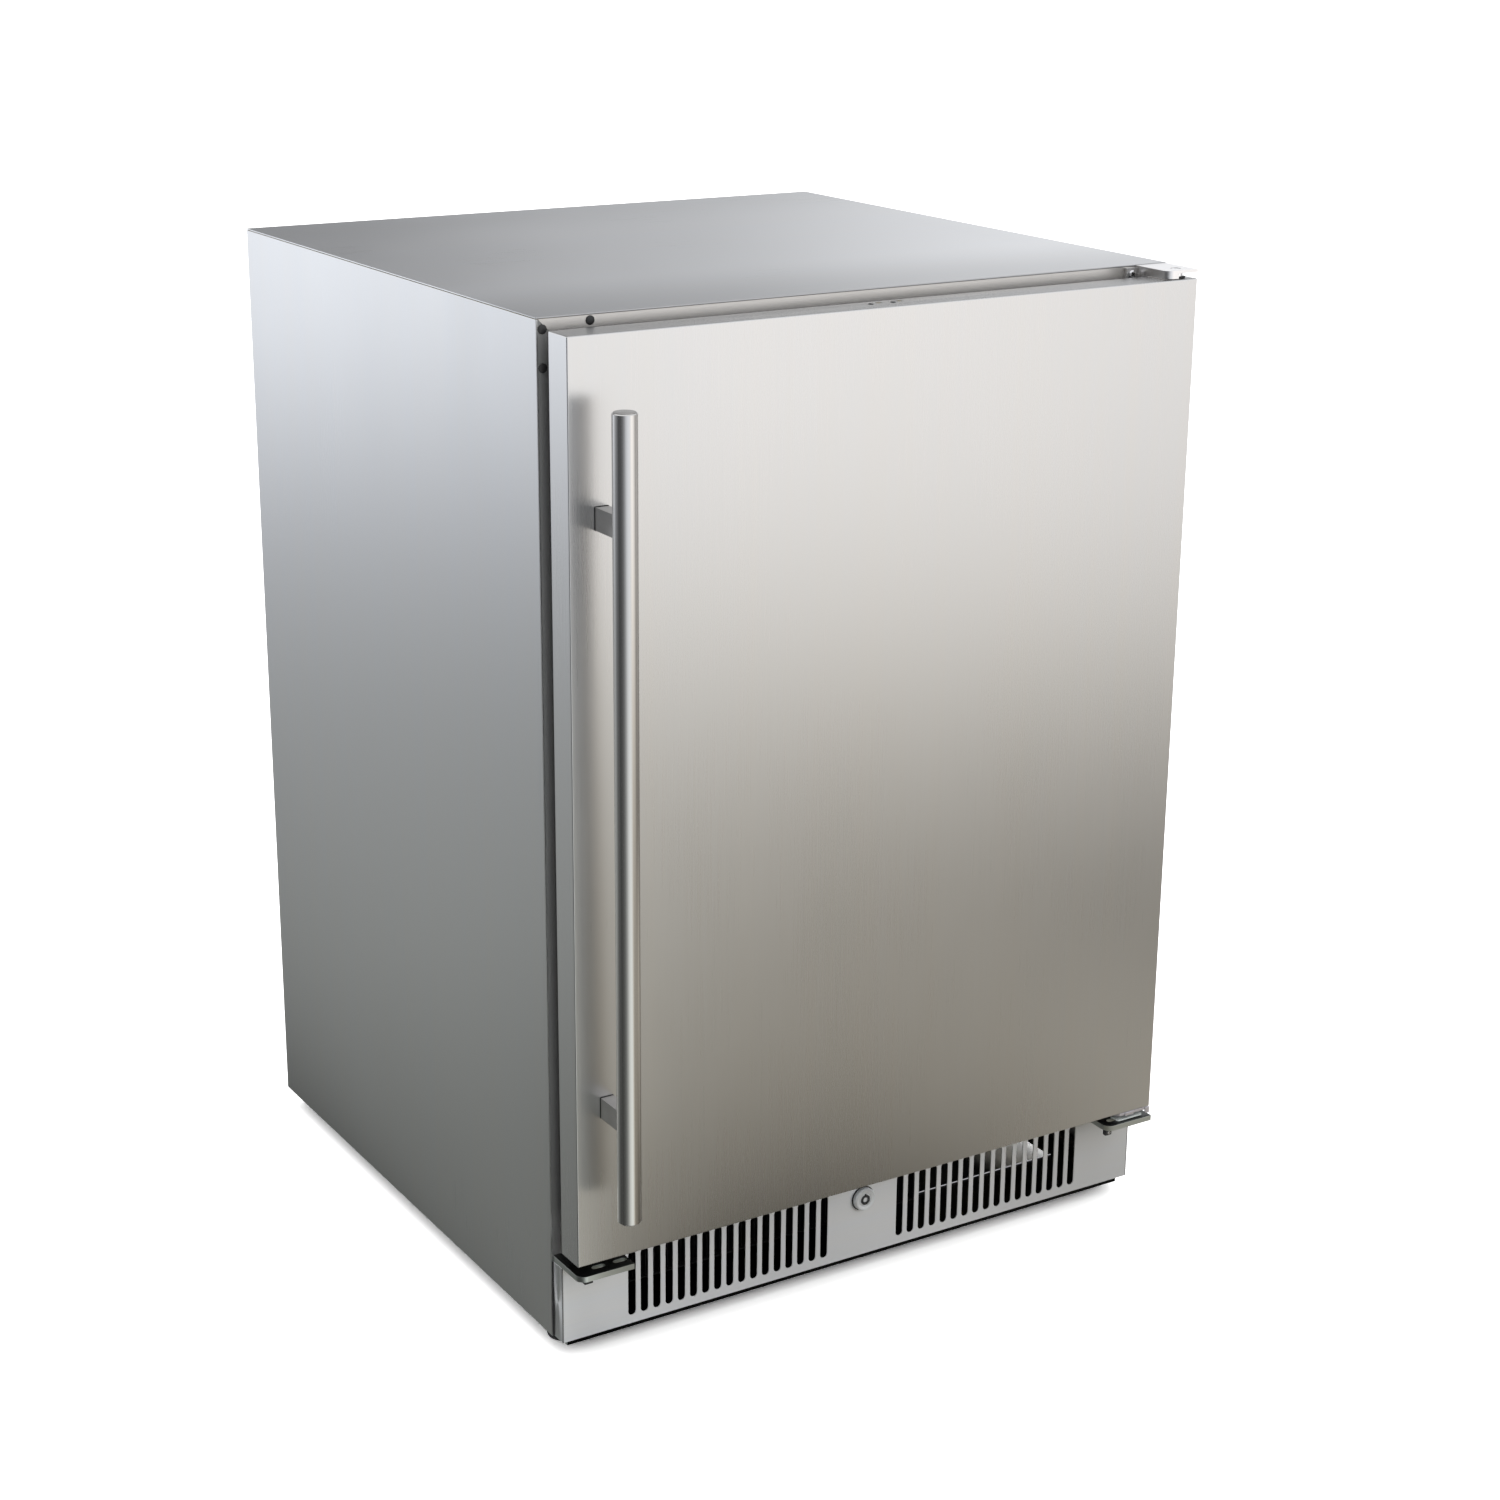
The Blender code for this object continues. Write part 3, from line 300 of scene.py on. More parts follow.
STEEL = (0.60, 0.60, 0.60)
# Painted shade on the top: darker towards its front edge, and a little towards its back edge.
TOP_PAINTED_SHADE = [("Y", FRONT_Y, FRONT_Y + 0.16, 0.70, 1.0), ("Y", FRONT_Y + 0.40, FRONT_Y + 0.56, 1.0, 0.91)]
# Painted highlight and painted shade across the toe grille: a little brighter at its left end, darker
# towards its right end.
KICK_PAINTED_SHADING = [("X", -0.30, 0.0, 1.05, 0.94), ("X", 0.0, 0.30, 1.0, 0.75)]
looks = {
    "side": brushed_steel("steel_sides", "Z", STEEL, 0.30, shade_and_paint=flange_painted_shade, rougher=2.4),
    # The door's upward faces are painted darker: painted shade.
    "door": brushed_steel("steel_door", "Z", STEEL, 0.28, shade_and_paint=upward_painted_shade(0.44)),
    "top": brushed_steel("steel_top", "X", (0.615, 0.620, 0.632), 0.30, painted_fades=TOP_PAINTED_SHADE),
    "frame": brushed_steel("steel_frame", "X", (0.52, 0.52, 0.52), 0.34),
    "kick": brushed_steel("steel_kick_plate", "X", (0.88, 0.89, 0.90), 0.55, 0.8, KICK_PAINTED_SHADING, returns_painted_shade),
    # The brackets' upward faces are painted nearly black: painted shade.
    "bracket": brushed_steel("steel_brackets", "X", (0.50, 0.53, 0.51), 0.34, shade_and_paint=upward_painted_shade(0.88)),
    "cap": brushed_steel("steel_hinge_cap", "X", (0.74, 0.73, 0.73), 0.30),
    "bar": brushed_steel("steel_handle", "Z", (0.62, 0.61, 0.60), 0.15, anisotropy=0.2),
    "post": brushed_steel("steel_posts", "Y", (0.40, 0.39, 0.38), 0.30),
    "rail": brushed_steel("steel_top_rail", "X", (0.66, 0.64, 0.62), 0.30),
    "edge_glint": glowing("painted_edge_glint", (0.80, 0.80, 0.84), 0.55),
    "tray": brushed_steel("painted_tray", "Y", (0.52, 0.54, 0.53), 0.36, shade_and_paint=dull_tray),
    "galvanised": galvanised("zinc_sheet", (0.55, 0.57, 0.58)),
    "bright": plated("bright_plating", (0.74, 0.74, 0.75), 0.18),
    "lock": plated("lock_plating", (0.94, 0.96, 0.98), 0.60),
    "white": moulded("white_lining", (0.56, 0.57, 0.58), 0.38, blotch=0.012),
    "black": moulded("black_moulding", (0.014, 0.014, 0.015), 0.50),
    "enamel": moulded("black_enamel", (0.008, 0.008, 0.009), 0.55, 0.003, 0.1),
    "aluminium": plated("fin_aluminium", (0.80, 0.81, 0.82), 0.35),
    "rubber": moulded("seal_rubber", (0.013, 0.013, 0.014), 0.62, 0.0008),
    "foam": moulded("foam_filling", (0.80, 0.72, 0.48), 0.85, 0.004, 0.6),
    "window": moulded("display_window", (0.02, 0.03, 0.05), 0.12, 0.01, 0.01, 0.6),
    "lens": moulded("lamp_lens", (0.88, 0.90, 0.93), 0.22, 0.004, 0.1),
    "plate": brushed_steel("steel_hinge_plate", "X", (0.66, 0.65, 0.71), 0.34),
    "spacer": moulded("pale_spacer", (0.40, 0.43, 0.42), 0.45),
    "glow": glowing("display_figures", (0.35, 0.75, 1.0), 2.2),
    "copper": plated("copper_pipe", (0.72, 0.40, 0.26), 0.30),
}

# ---- CAD nodes


def smoothing_group():
    """A node group that joins the CAD's loose triangles and shades them smooth up to a sharp angle."""
    group = bpy.data.node_groups.new("smooth_rounds", "GeometryNodeTree")
    group.interface.new_socket("Geometry", in_out="INPUT", socket_type="NodeSocketGeometry")
    group.interface.new_socket("Geometry", in_out="OUTPUT", socket_type="NodeSocketGeometry")
    tree = Tree(group)
    start = tree.add("NodeGroupInput").outputs[0]
    merged = tree.add("GeometryNodeMergeByDistance", {"Geometry": start, "Distance": 1e-6})
    plain = tree.add("GeometryNodeRemoveAttribute", {"Geometry": merged.outputs[0], "Name": "custom_normal"})
    smooth = tree.add("GeometryNodeSetShadeSmooth", {0: plain.outputs[0]}, domain="FACE")
    angle = tree.add("GeometryNodeInputMeshEdgeAngle").outputs[0]
    sharp = tree.add("FunctionNodeCompare", {0: angle, 1: math.radians(32)}, operation="GREATER_THAN")
    edges = tree.add("GeometryNodeSetShadeSmooth", {0: smooth.outputs[0]}, domain="EDGE")
    tree.feed(edges.inputs["Selection"], sharp.outputs[0])
    edges.inputs["Shade Smooth"].default_value = False
    tree.add("NodeGroupOutput", {0: edges.outputs[0]})
    return group


smooth_rounds = smoothing_group()


def soften(obj, edge):
    """Soft edges of a width, where it isn't 0."""
    if edge:
        bevel = obj.modifiers.new("edge", "BEVEL")
        bevel.width = edge
        bevel.segments = 2
        bevel.limit_method = "ANGLE"
        bevel.angle_limit = math.radians(40)
        bevel.harden_normals = True


def dress(node, look, edge):
    """Gives a CAD node its look, smooth rounds and soft edges."""
    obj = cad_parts[node]
    obj.data.materials[0] = looks[look]
    modifier = obj.modifiers.new("smooth", "NODES")
    modifier.node_group = smooth_rounds
    soften(obj, edge)


KEYS = ("power", "light", "warmer", "cooler")
CORNERS = ("front_left", "front_right", "rear_left", "rear_right")
SHELF_LEVELS = {"lower": 0.375, "middle": 0.515, "upper": 0.655}
# Each look's width of soft edge, and its CAD nodes.
dressings = {
    "side": (0.0005, ["side_panel_left", "side_panel_right"]),
    "door": (0.0012, ["door_skin"]),
    "top": (0.0004, ["top_panel"]),
    "frame": (0.0, ["top_rail", "bottom_rail", "lock_cam", "lock_strike", "door_hinge_plate"]),
    "kick": (0.0004, ["kick_plate"]),
    "cap": (0.0004, ["top_hinge_bracket"]),
    "bracket": (0.0004, ["lower_hinge_bracket", "spare_hinge_bracket"]),
    "bar": (0.0, ["handle_bar"]),
    "post": (0.0006, ["handle_post_upper", "handle_post_lower"]),
    "galvanised": (0.0, ["back_panel", "rear_cover"]),
    "bright": (0.0, [f"wire_shelf_{name}" for name in SHELF_LEVELS]
               + ["lower_hinge_pin", "top_hinge_pin", "top_hinge_screw"]),
    "lock": (0.0, ["lock_barrel", "lock_plug"]),
    "white": (0.0, ["inner_liner", "evaporator_cover", "drain_pan", "door_inner_panel"]
              + [f"{key}_button" for key in KEYS]),
    "black": (0.0, ["rail_plug", "flange_plug_upper", "flange_plug_lower", "evaporator_fan",
                    "evaporator_fan_motor", "control_housing", "condenser_fan", "power_inlet",
                    "door_bush_upper"] + [f"foot_{corner}" for corner in CORNERS]),
    "tray": (0.0, ["base_tray"]),
    "enamel": (0.0, ["compressor", "condenser", "condenser_fan_motor"]),
    "aluminium": (0.0, ["evaporator_coil"]),
    "rubber": (0.0, ["door_seal"]),
    "foam": (0.0, ["insulation_foam", "door_foam"]),
    "window": (0.0, ["control_display"]),
    "lens": (0.0, ["light_lens"]),
}
for look, (edge, names) in dressings.items():
    for name in names:
        dress(name, look, edge)

# ---- mesh tools

DIRECTIONS = {"X": Vector((1, 0, 0)), "Y": Vector((0, 1, 0)), "Z": Vector((0, 0, 1))}


def new_object(name, bm):
    """Turns a bmesh into an object in the scene."""
    mesh = bpy.data.meshes.new(name)
    bm.to_mesh(mesh)
    bm.free()
    obj = bpy.data.objects.new(name, mesh)
    bpy.context.scene.collection.objects.link(obj)
    return obj


def make_piece(name, bm, look, body, replaced=(), sharp=32, edge=0.0):
    """Turns a bmesh drawn in cabinet coordinates into a piece that rides on a body."""
    bmesh.ops.recalc_face_normals(bm, faces=bm.faces)
    bmesh.ops.translate(bm, vec=place(0, 0, 0), verts=bm.verts)
    piece = new_object(name, bm)
    piece.data.shade_smooth()
    piece.data.set_sharp_from_angle(angle=math.radians(sharp))
    piece.data.materials.append(looks[look])
    # A second, black slot: screws' cross recesses take it as painted shade.
    piece.data.materials.append(looks["black"])
    soften(piece, edge)
    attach(piece, body)
    if replaced:
        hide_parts(*replaced)
    return piece


def bridge(bm, one, two):
    """Faces between two rings with the same number of points."""
    count = len(one)
    for i in range(count):
        bm.faces.new((one[i], one[(i + 1) % count], two[(i + 1) % count], two[i]))


def add_box(bm, low, high):
    made = bmesh.ops.create_cube(bm, size=1.0)["verts"]
    low, high = Vector(low), Vector(high)
    bmesh.ops.scale(bm, vec=high - low, verts=made)
    bmesh.ops.translate(bm, vec=(low + high) / 2, verts=made)
    return made


def add_side_boxes(bm, low, high):
    """A box on the right, and its mirror image on the left."""
    add_box(bm, (-high[0], *low[1:]), (-low[0], *high[1:]))
    add_box(bm, low, high)


def add_lathe(bm, profile, centre, axis, segments=24):
    """A turned solid round an axis through centre. The profile holds (radius, distance along it)."""
    along = DIRECTIONS[axis]
    across = DIRECTIONS["X" if axis == "Z" else "Z"]
    other = along.cross(across)
    rings = []
    for radius, distance in profile:
        middle = Vector(centre) + along * distance
        if radius < 1e-6:
            rings.append([bm.verts.new(middle)])
            continue
        turns = [math.tau * i / segments for i in range(segments)]
        ring = [bm.verts.new(middle + radius * (math.cos(t) * across + math.sin(t) * other)) for t in turns]
        rings.append(ring)
    for one, two in zip(rings, rings[1:]):
        if len(one) == 1 or len(two) == 1:
            tip, ring = (one[0], two) if len(one) == 1 else (two[0], one)
            for i in range(segments):
                bm.faces.new((tip, ring[i], ring[(i + 1) % segments]))
        else:
            bridge(bm, one, two)


def add_washer(bm, centre, inner, outer, low, high):
    """A ring round the Y axis through centre, from radius inner to outer."""
    profile = [(inner, low), (outer, low), (outer, high), (inner, high), (inner, low)]
    add_lathe(bm, profile, centre, "Y", 28)
    bmesh.ops.remove_doubles(bm, verts=bm.verts, dist=1e-7)


def add_tube(bm, points, radius, sides=10, closed=False):
    """A round wire or pipe along points."""
    points = [Vector(point) for point in points]
    count = len(points)
    rings, normal = [], None
    for i, point in enumerate(points):
        before = points[i - 1] if closed or i else point
        after = points[(i + 1) % count] if closed or i < count - 1 else point
        direction = (after - before).normalized()
        normal = direction.orthogonal() if normal is None else normal - direction * normal.dot(direction)
        normal.normalize()
        side = direction.cross(normal)
        turns = [math.tau * k / sides for k in range(sides)]
        spokes = [math.cos(t) * normal + math.sin(t) * side for t in turns]
        rings.append([bm.verts.new(point + radius * spoke) for spoke in spokes])
    for one, two in zip(rings, rings[1:]):
        bridge(bm, one, two)
    if closed:
        bridge(bm, rings[-1], rings[0])
    else:
        bm.faces.new(rings[0])
        bm.faces.new(rings[-1])


def rounded_loop(half_across, half_up, radius, steps=6, middle=(0, 0)):
    """A rectangle with rounded corners, as (across, up) points."""
    points = []
    for turn, (side, height) in enumerate(((1, 1), (-1, 1), (-1, -1), (1, -1))):
        for i in range(steps + 1):
            angle = math.radians(90 * turn + 90 * i / steps)
            across = side * (half_across - radius) + radius * math.cos(angle)
            up = height * (half_up - radius) + radius * math.sin(angle)
            points.append((across + middle[0], up + middle[1]))
    return points


def add_screw(bm, centre, direction, radius, height, turn=0.0):
    """A pan-headed screw with a cross recess painted black as painted shade, rising from centre along
    direction.
    """
    sides, arm, reach = 16, radius * 0.15, radius * 0.58
    angles = [math.tau * k / sides for k in range(sides)]
    rings = []
    for wide, high in ((1.0, 0.0), (1.0, 0.4), (0.90, 0.75), (0.70, 1.0)):
        size = radius * wide
        rings.append([bm.verts.new((size * math.cos(a), size * math.sin(a), height * high)) for a in angles])
    for one, two in zip(rings, rings[1:]):
        bridge(bm, one, two)
    corner = [(arm, arm), (arm, reach), (-arm, reach)]
    cross = []
    for c, s in ((1, 0), (0, 1), (-1, 0), (0, -1)):
        cross += [(c * x - s * y, s * x + c * y) for x, y in corner]
    top = [bm.verts.new((x, y, height)) for x, y in cross]
    bottom = [bm.verts.new((0.7 * x, 0.7 * y, height * 0.35)) for x, y in cross]
    edges = [bm.edges.get((rings[-1][k], rings[-1][(k + 1) % sides])) for k in range(sides)]
    edges += [bm.edges.new((top[k], top[(k + 1) % 12])) for k in range(12)]
    bmesh.ops.triangle_fill(bm, edges=edges, use_beauty=True)
    # The recess's faces take the second, black slot: painted shade.
    for k in range(12):
        face = bm.faces.new((top[k], top[(k + 1) % 12], bottom[(k + 1) % 12], bottom[k]))
        face.material_index = 1
    bm.faces.new(bottom).material_index = 1
    made = [v for ring in rings for v in ring] + top + bottom
    rotation = Vector(direction).to_track_quat("Z", "Y").to_matrix() @ Matrix.Rotation(turn, 3, "Z")
    bmesh.ops.rotate(bm, matrix=rotation, verts=made)
    bmesh.ops.translate(bm, vec=centre, verts=made)


def add_plate(bm, outline, axis, low, high, holes=()):
    """A flat plate with holes. Outlines are points across the axis: (x, z) for Y and (x, y) for Z."""
    def point(a, b, level):
        return (a, level, b) if axis == "Y" else (a, b, level)

    loops = [outline] + list(holes)
    sheets = []
    for level in (low, high):
        rings = [[bm.verts.new(point(a, b, level)) for a, b in loop] for loop in loops]
        edges = [bm.edges.new((ring[k - 1], ring[k])) for ring in rings for k in range(len(ring))]
        bmesh.ops.triangle_fill(bm, edges=edges, use_beauty=True)
        sheets.append(rings)
    for one, two in zip(*sheets):
        bridge(bm, one, two)


def hinge_hole(radius):
    """A circle round the hinge's axis."""
    turns = [math.tau * k / 20 for k in range(20)]
    return [(HINGE_X + radius * math.cos(t), HINGE_Y + radius * math.sin(t)) for t in turns]


def smooth_path(points, steps=8):
    """A Catmull-Rom curve through points."""
    points = [Vector(point) for point in points]
    padded = [2 * points[0] - points[1]] + points + [2 * points[-1] - points[-2]]
    path = []
    for before, start, end, after in zip(padded, padded[1:], padded[2:], padded[3:]):
        for k in range(steps):
            t = k / steps
            square = 2 * before - 5 * start + 4 * end - after
            cube = 3 * start - before - 3 * end + after
            path.append(0.5 * (2 * start + (end - before) * t + square * t ** 2 + cube * t ** 3))
    return path + [points[-1]]


def union(name, first, others):
    """One bmesh from a union of closed bmeshes. All of them are used up."""
    objects = []
    for bm in [first] + others:
        bmesh.ops.recalc_face_normals(bm, faces=bm.faces)
        objects.append(new_object(name, bm))
    for other in objects[1:]:
        modifier = objects[0].modifiers.new("union", "BOOLEAN")
        modifier.operation = "UNION"
        modifier.object = other
    shape = objects[0].evaluated_get(bpy.context.evaluated_depsgraph_get())
    joined = bmesh.new()
    joined.from_mesh(shape.to_mesh())
    for obj in objects:
        mesh = obj.data
        bpy.data.objects.remove(obj)
        bpy.data.meshes.remove(mesh)
    return joined


# ---- door pieces

DOOR_MIDDLE_Z = 0.46265
HINGE_X, HINGE_Y = 0.285, -0.030
PANEL_BACK = -0.0131


def make_seal():
    """The magnetic seal: a wide base strip over the door panel's rim, bellows, and the magnet's pocket."""
    middle_z, half_z = 0.46725, 0.36375
    half_x = 0.273
    # (outwards from the seal's middle, y)
    profile = [
        (0.0225, -0.0128), (0.0225, -0.0119), (0.0095, -0.0116), (0.0070, -0.0104), (0.0088, -0.0088),
        (0.0088, -0.0074), (0.0070, -0.0060), (0.0094, -0.0046), (0.0098, -0.0016), (0.0090, -0.0006),
        (-0.0080, -0.0004), (-0.0098, -0.0012), (-0.0098, -0.0044), (-0.0070, -0.0058), (-0.0088, -0.0074),
        (-0.0088, -0.0088), (-0.0070, -0.0104), (-0.0095, -0.0116), (-0.0115, -0.0119), (-0.0115, -0.0128),
    ]
    bm = bmesh.new()
    rings = []
    for side, height in ((1, 1), (-1, 1), (-1, -1), (1, -1)):
        ring = []
        for out, y in profile:
            x = side * (half_x + out)
            reach = min(out, 0.0100 if height < 0 else 0.0130)
            z = middle_z + height * (half_z - 0.010 + reach)
            ring.append(bm.verts.new((x, y, z)))
        rings.append(ring)
    for i in range(4):
        bridge(bm, rings[i], rings[(i + 1) % 4])
    make_piece("door_gasket", bm, "rubber", "door", ["door_seal"], sharp=50)


def make_door_liner():
    """The door's moulded inner panel: a flat rim, a raised dyke and a shallow field inside it."""
    dyke_middle, taller = (0, 0.468), 0.078
    rim = rounded_loop(0.2962, 0.37805, 0.0030, middle=(0, DOOR_MIDDLE_Z))
    bm = bmesh.new()
    rings = [[bm.verts.new((x, y, z)) for x, z in rim] for y in (-0.0143, PANEL_BACK)]
    # (half width, corner radius, y) up the dyke's outer side, over its crest and down to the field
    for half_x, radius, y in (
        (0.2425, 0.0060, PANEL_BACK), (0.2408, 0.0050, -0.0122), (0.2400, 0.0042, -0.0100),
        (0.2400, 0.0040, 0.0080), (0.2395, 0.0040, 0.0098), (0.2381, 0.0035, 0.0113),
        (0.2360, 0.0030, 0.0120), (0.2180, 0.0160, 0.0120), (0.2166, 0.0150, 0.0117),
        (0.2150, 0.0140, 0.0110), (0.2130, 0.0130, 0.0108),
    ):
        loop = rounded_loop(half_x, half_x + taller, radius, middle=dyke_middle)
        rings.append([bm.verts.new((x, y, z)) for x, z in loop])
    for one, two in zip(rings, rings[1:]):
        bridge(bm, one, two)
    bm.faces.new(rings[-1])
    make_piece("door_liner", bm, "white", "door", ["door_inner_panel"], sharp=40)


def make_handle_ends():
    """The bar's closing discs, a hair narrower than the bar."""
    for name, side in (("upper", 1), ("lower", -1)):
        bm = bmesh.new()
        profile = [(0, 0), (0.0084, 0), (0.0087, 0.0001), (0.0087, 0.0003)]
        profile += [(0.0083, 0.0005), (0.0010, 0.0006), (0, 0.0006)]
        centre = (-0.270, -0.080, DOOR_MIDDLE_Z + side * 0.3275)
        add_lathe(bm, [(r, side * d) for r, d in profile], centre, "Z", 32)
        make_piece(f"handle_end_{name}", bm, "post", "door")


def make_door_top_plugs():
    """Two small plugs in the door pan's upper face."""
    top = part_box("door_skin")[1].z - BASE_Z
    bm = bmesh.new()
    for x in (-0.019, 0.002):
        profile = [(0, -0.0003), (0.0023, -0.0003), (0.0023, 0.0001), (0.0018, 0.0004), (0, 0.0005)]
        add_lathe(bm, profile, (x, -0.026, top), "Z", 20)
    make_piece("door_top_plugs", bm, "black", "door")


# ---- shelves and inside


def make_wire_shelves():
    """Each shelf: a thick rim, four cross bars and thin wires from front to back."""
    half_x, front, back = 0.2613, 0.0327, 0.4553
    rim, bar, wire = 0.0025, 0.0016, 0.0013
    count = 25
    for name, level in SHELF_LEVELS.items():
        bm = bmesh.new()
        middle_y, half_y = (front + back) / 2, (back - front) / 2
        loop = rounded_loop(half_x, half_y, 0.008, 4)
        add_tube(bm, [(x, middle_y + y, level + rim) for x, y in loop], rim, 10, closed=True)
        for y in (front + 0.02, middle_y - 0.07, middle_y + 0.07, back - 0.02):
            add_tube(bm, [(-half_x, y, level + bar), (half_x, y, level + bar)], bar, 8)
        for i in range(count):
            x = (i - (count - 1) / 2) * 2 * (half_x - 0.010) / (count - 1)
            z = level + 2 * rim - wire
            add_tube(bm, [(x, front, z), (x, back, z)], wire, 8)
        make_piece(f"shelf_{name}", bm, "bright", "cabinet", [f"wire_shelf_{name}"], sharp=50)


def make_tub():
    """The inner liner: a tub with rounded corners, moulded shelf grooves and a flat rim at its mouth."""
    half_x, floor, ceiling, back, step_y, step_z = 0.2605, 0.128, 0.808, 0.518, 0.330, 0.345
    front, rounding = 0.0004, 0.012
    air = bmesh.new()
    outline = [(front, floor), (step_y, floor), (step_y, step_z)]
    outline += [(back, step_z), (back, ceiling), (front, ceiling)]
    ends = [[air.verts.new((x, y, z)) for y, z in outline] for x in (-half_x, half_x)]
    bridge(air, *ends)
    for ring in ends:
        air.faces.new(ring)
    inner_edges = []
    for edge in air.edges:
        mouth = all(v.co.y < front + 1e-6 for v in edge.verts)
        step = any(abs(v.co.y - step_y) < 1e-6 and abs(v.co.z - step_z) < 1e-6 for v in edge.verts)
        if not mouth and not step:
            inner_edges.append(edge)
    bmesh.ops.bevel(
        air, geom=inner_edges, offset=rounding, segments=5, profile=0.5, affect="EDGES", clamp_overlap=True)
    grooves = []
    for level in SHELF_LEVELS.values():
        for low_x in (-half_x - 0.0040, half_x - 0.0010):
            groove = bmesh.new()
            add_box(groove, (low_x, 0.0290, level - 0.0004), (low_x + 0.0050, 0.4590, level + 0.0060))
            grooves.append(groove)
    tub = union("tub_air", air, grooves)
    open_faces = [f for f in tub.faces if f.calc_center_median().y < front + 1e-5]
    bmesh.ops.delete(tub, geom=open_faces, context="FACES")
    piece = make_piece("liner_tub", tub, "white", "cabinet", ["inner_liner"], sharp=40)
    piece.data.flip_normals()
    shell = piece.modifiers.new("shell", "SOLIDIFY")
    shell.thickness = 0.0011
    shell.offset = -1.0
    bm = bmesh.new()
    mouth = rounded_loop(half_x, (ceiling - floor) / 2, rounding, middle=(0, (ceiling + floor) / 2))
    rim = [(-0.2715, 0.1229), (0.2715, 0.1229), (0.2715, 0.8126), (-0.2715, 0.8126)]
    add_plate(bm, rim, "Y", 0.0003, 0.0014, [mouth])
    make_piece("liner_rim", bm, "white", "cabinet")


def make_fan_blades(name, centre, radius, front, back, count):
    """A fan: a domed hub with swept, twisted blades round it."""
    bm = bmesh.new()
    hub, depth, middle = radius * 0.36, back - front, (front + back) / 2
    x, z = centre
    rows, columns = 6, 6
    for blade in range(count):
        grid = []
        for i in range(rows + 1):
            u = i / rows
            r = hub * 0.9 + (radius - hub * 0.9) * u
            span = math.radians(50 - 6 * u)
            ring = []
            for j in range(columns + 1):
                t = j / columns
                angle = math.tau * blade / count + span * (t - 0.5) + math.radians(16) * u * u
                camber = 0.12 * math.sin(math.pi * t)
                y = middle + depth * 0.86 * (t - 0.5 - camber) * (1 - 0.25 * u)
                ring.append(bm.verts.new((x + r * math.cos(angle), y, z + r * math.sin(angle))))
            grid.append(ring)
        faces = []
        for one, two in zip(grid, grid[1:]):
            faces += [bm.faces.new((one[j], one[j + 1], two[j + 1], two[j])) for j in range(columns)]
        bmesh.ops.solidify(bm, geom=faces, thickness=0.0009)
    profile = [(0, front), (hub * 0.7, front + 0.0004), (hub * 0.95, front + 0.0020), (hub, front + 0.0045)]
    profile += [(hub, back), (hub * 0.8, back), (0, back)]
    add_lathe(bm, profile, (x, 0, z), "Y", 28)
    make_piece(f"{name}_wheel", bm, "black", name, [name])


def make_condenser():
    """The condenser: a frame of two end plates, close fins and two rows of tubes with return bends."""
    left, right, front, back, low, high = -0.235, 0.095, 0.040, 0.078, 0.004, 0.092
    bm = bmesh.new()
    for x in (left, right - 0.0012):
        add_box(bm, (x, front, low), (x + 0.0012, back, high))
    for z in (low, high - 0.0012):
        add_box(bm, (left, front, z), (right, back, z + 0.0012))
    fins, first, last = 72, left + 0.008, right - 0.008
    for i in range(fins):
        x = first + (last - first) * i / (fins - 1)
        add_box(bm, (x, front + 0.001, low + 0.002), (x + 0.0004, back - 0.001, high - 0.002))
    ends = (left + 0.004, right - 0.004)
    for y in (front + 0.010, front + 0.028):
        points = []
        for k in range(4):
            z = low + 0.015 + 0.0195 * k
            points += [(x, y, z) for x in (ends[::-1] if k % 2 else ends)]
        add_tube(bm, points, 0.0032, 8)
    make_piece("condenser_block", bm, "enamel", "cabinet", ["condenser"])


def make_pipework():
    """The compressor's weld seam, terminal cover, pipes and the drier in the machine space."""
    x, y = 0.090, 0.465
    bm = bmesh.new()
    turns = [math.tau * k / 48 for k in range(48)]
    seam = [(x + 0.0768 * math.cos(t), y + 0.0768 * math.sin(t), 0.106) for t in turns]
    add_tube(bm, seam, 0.0011, 6, closed=True)
    add_box(bm, (x + 0.0700, y - 0.024, 0.052), (x + 0.0930, y + 0.024, 0.098))
    make_piece("compressor_fittings", bm, "enamel", "cabinet", edge=0.0012)
    bm = bmesh.new()
    routes = [
        [(x - 0.066, y - 0.030, 0.075), (x - 0.088, y - 0.050, 0.076), (-0.030, 0.330, 0.082),
         (-0.140, 0.240, 0.084), (-0.215, 0.150, 0.080), (-0.226, 0.081, 0.078)],
        [(x - 0.040, y + 0.064, 0.120), (x - 0.062, y + 0.078, 0.130), (x - 0.120, y + 0.070, 0.170),
         (x - 0.160, y + 0.060, 0.230), (x - 0.165, y + 0.056, 0.285)],
    ]
    for route in routes:
        add_tube(bm, smooth_path(route), 0.0032, 10)
    drier = [(0, 0), (0.0025, 0), (0.0030, 0.010), (0.0085, 0.018), (0.0085, 0.080)]
    drier += [(0.0030, 0.090), (0.0025, 0.100), (0, 0.100)]
    add_lathe(bm, drier, (-0.190, 0.250, 0.050), "Y", 20)
    make_piece("refrigerant_pipes", bm, "copper", "cabinet")


def make_digits():
    """Two seven-segment figures behind the display window's face."""
    bm = bmesh.new()
    tall, wide, thick, y = 0.0080, 0.0042, 0.0008, 0.0222
    half = tall / 2
    bars = {
        "a": (0, half, 1), "b": (wide / 2, half / 2, 0), "c": (wide / 2, -half / 2, 0), "d": (0, -half, 1),
        "e": (-wide / 2, -half / 2, 0), "f": (-wide / 2, half / 2, 0), "g": (0, 0, 1),
    }
    z = 0.79835
    for x, lit in ((-0.0040, "abcdg"), (0.0040, "acdefg")):
        for key in lit:
            across, up, flat = bars[key]
            reach = (wide / 2 - thick * 0.7, thick / 2) if flat else (thick / 2, half / 2 - thick * 0.7)
            low = (x + across - reach[0], y, z + up - reach[1])
            add_box(bm, low, (x + across + reach[0], y + 0.0001, z + up + reach[1]))
    make_piece("display_digits", bm, "glow", "cabinet")


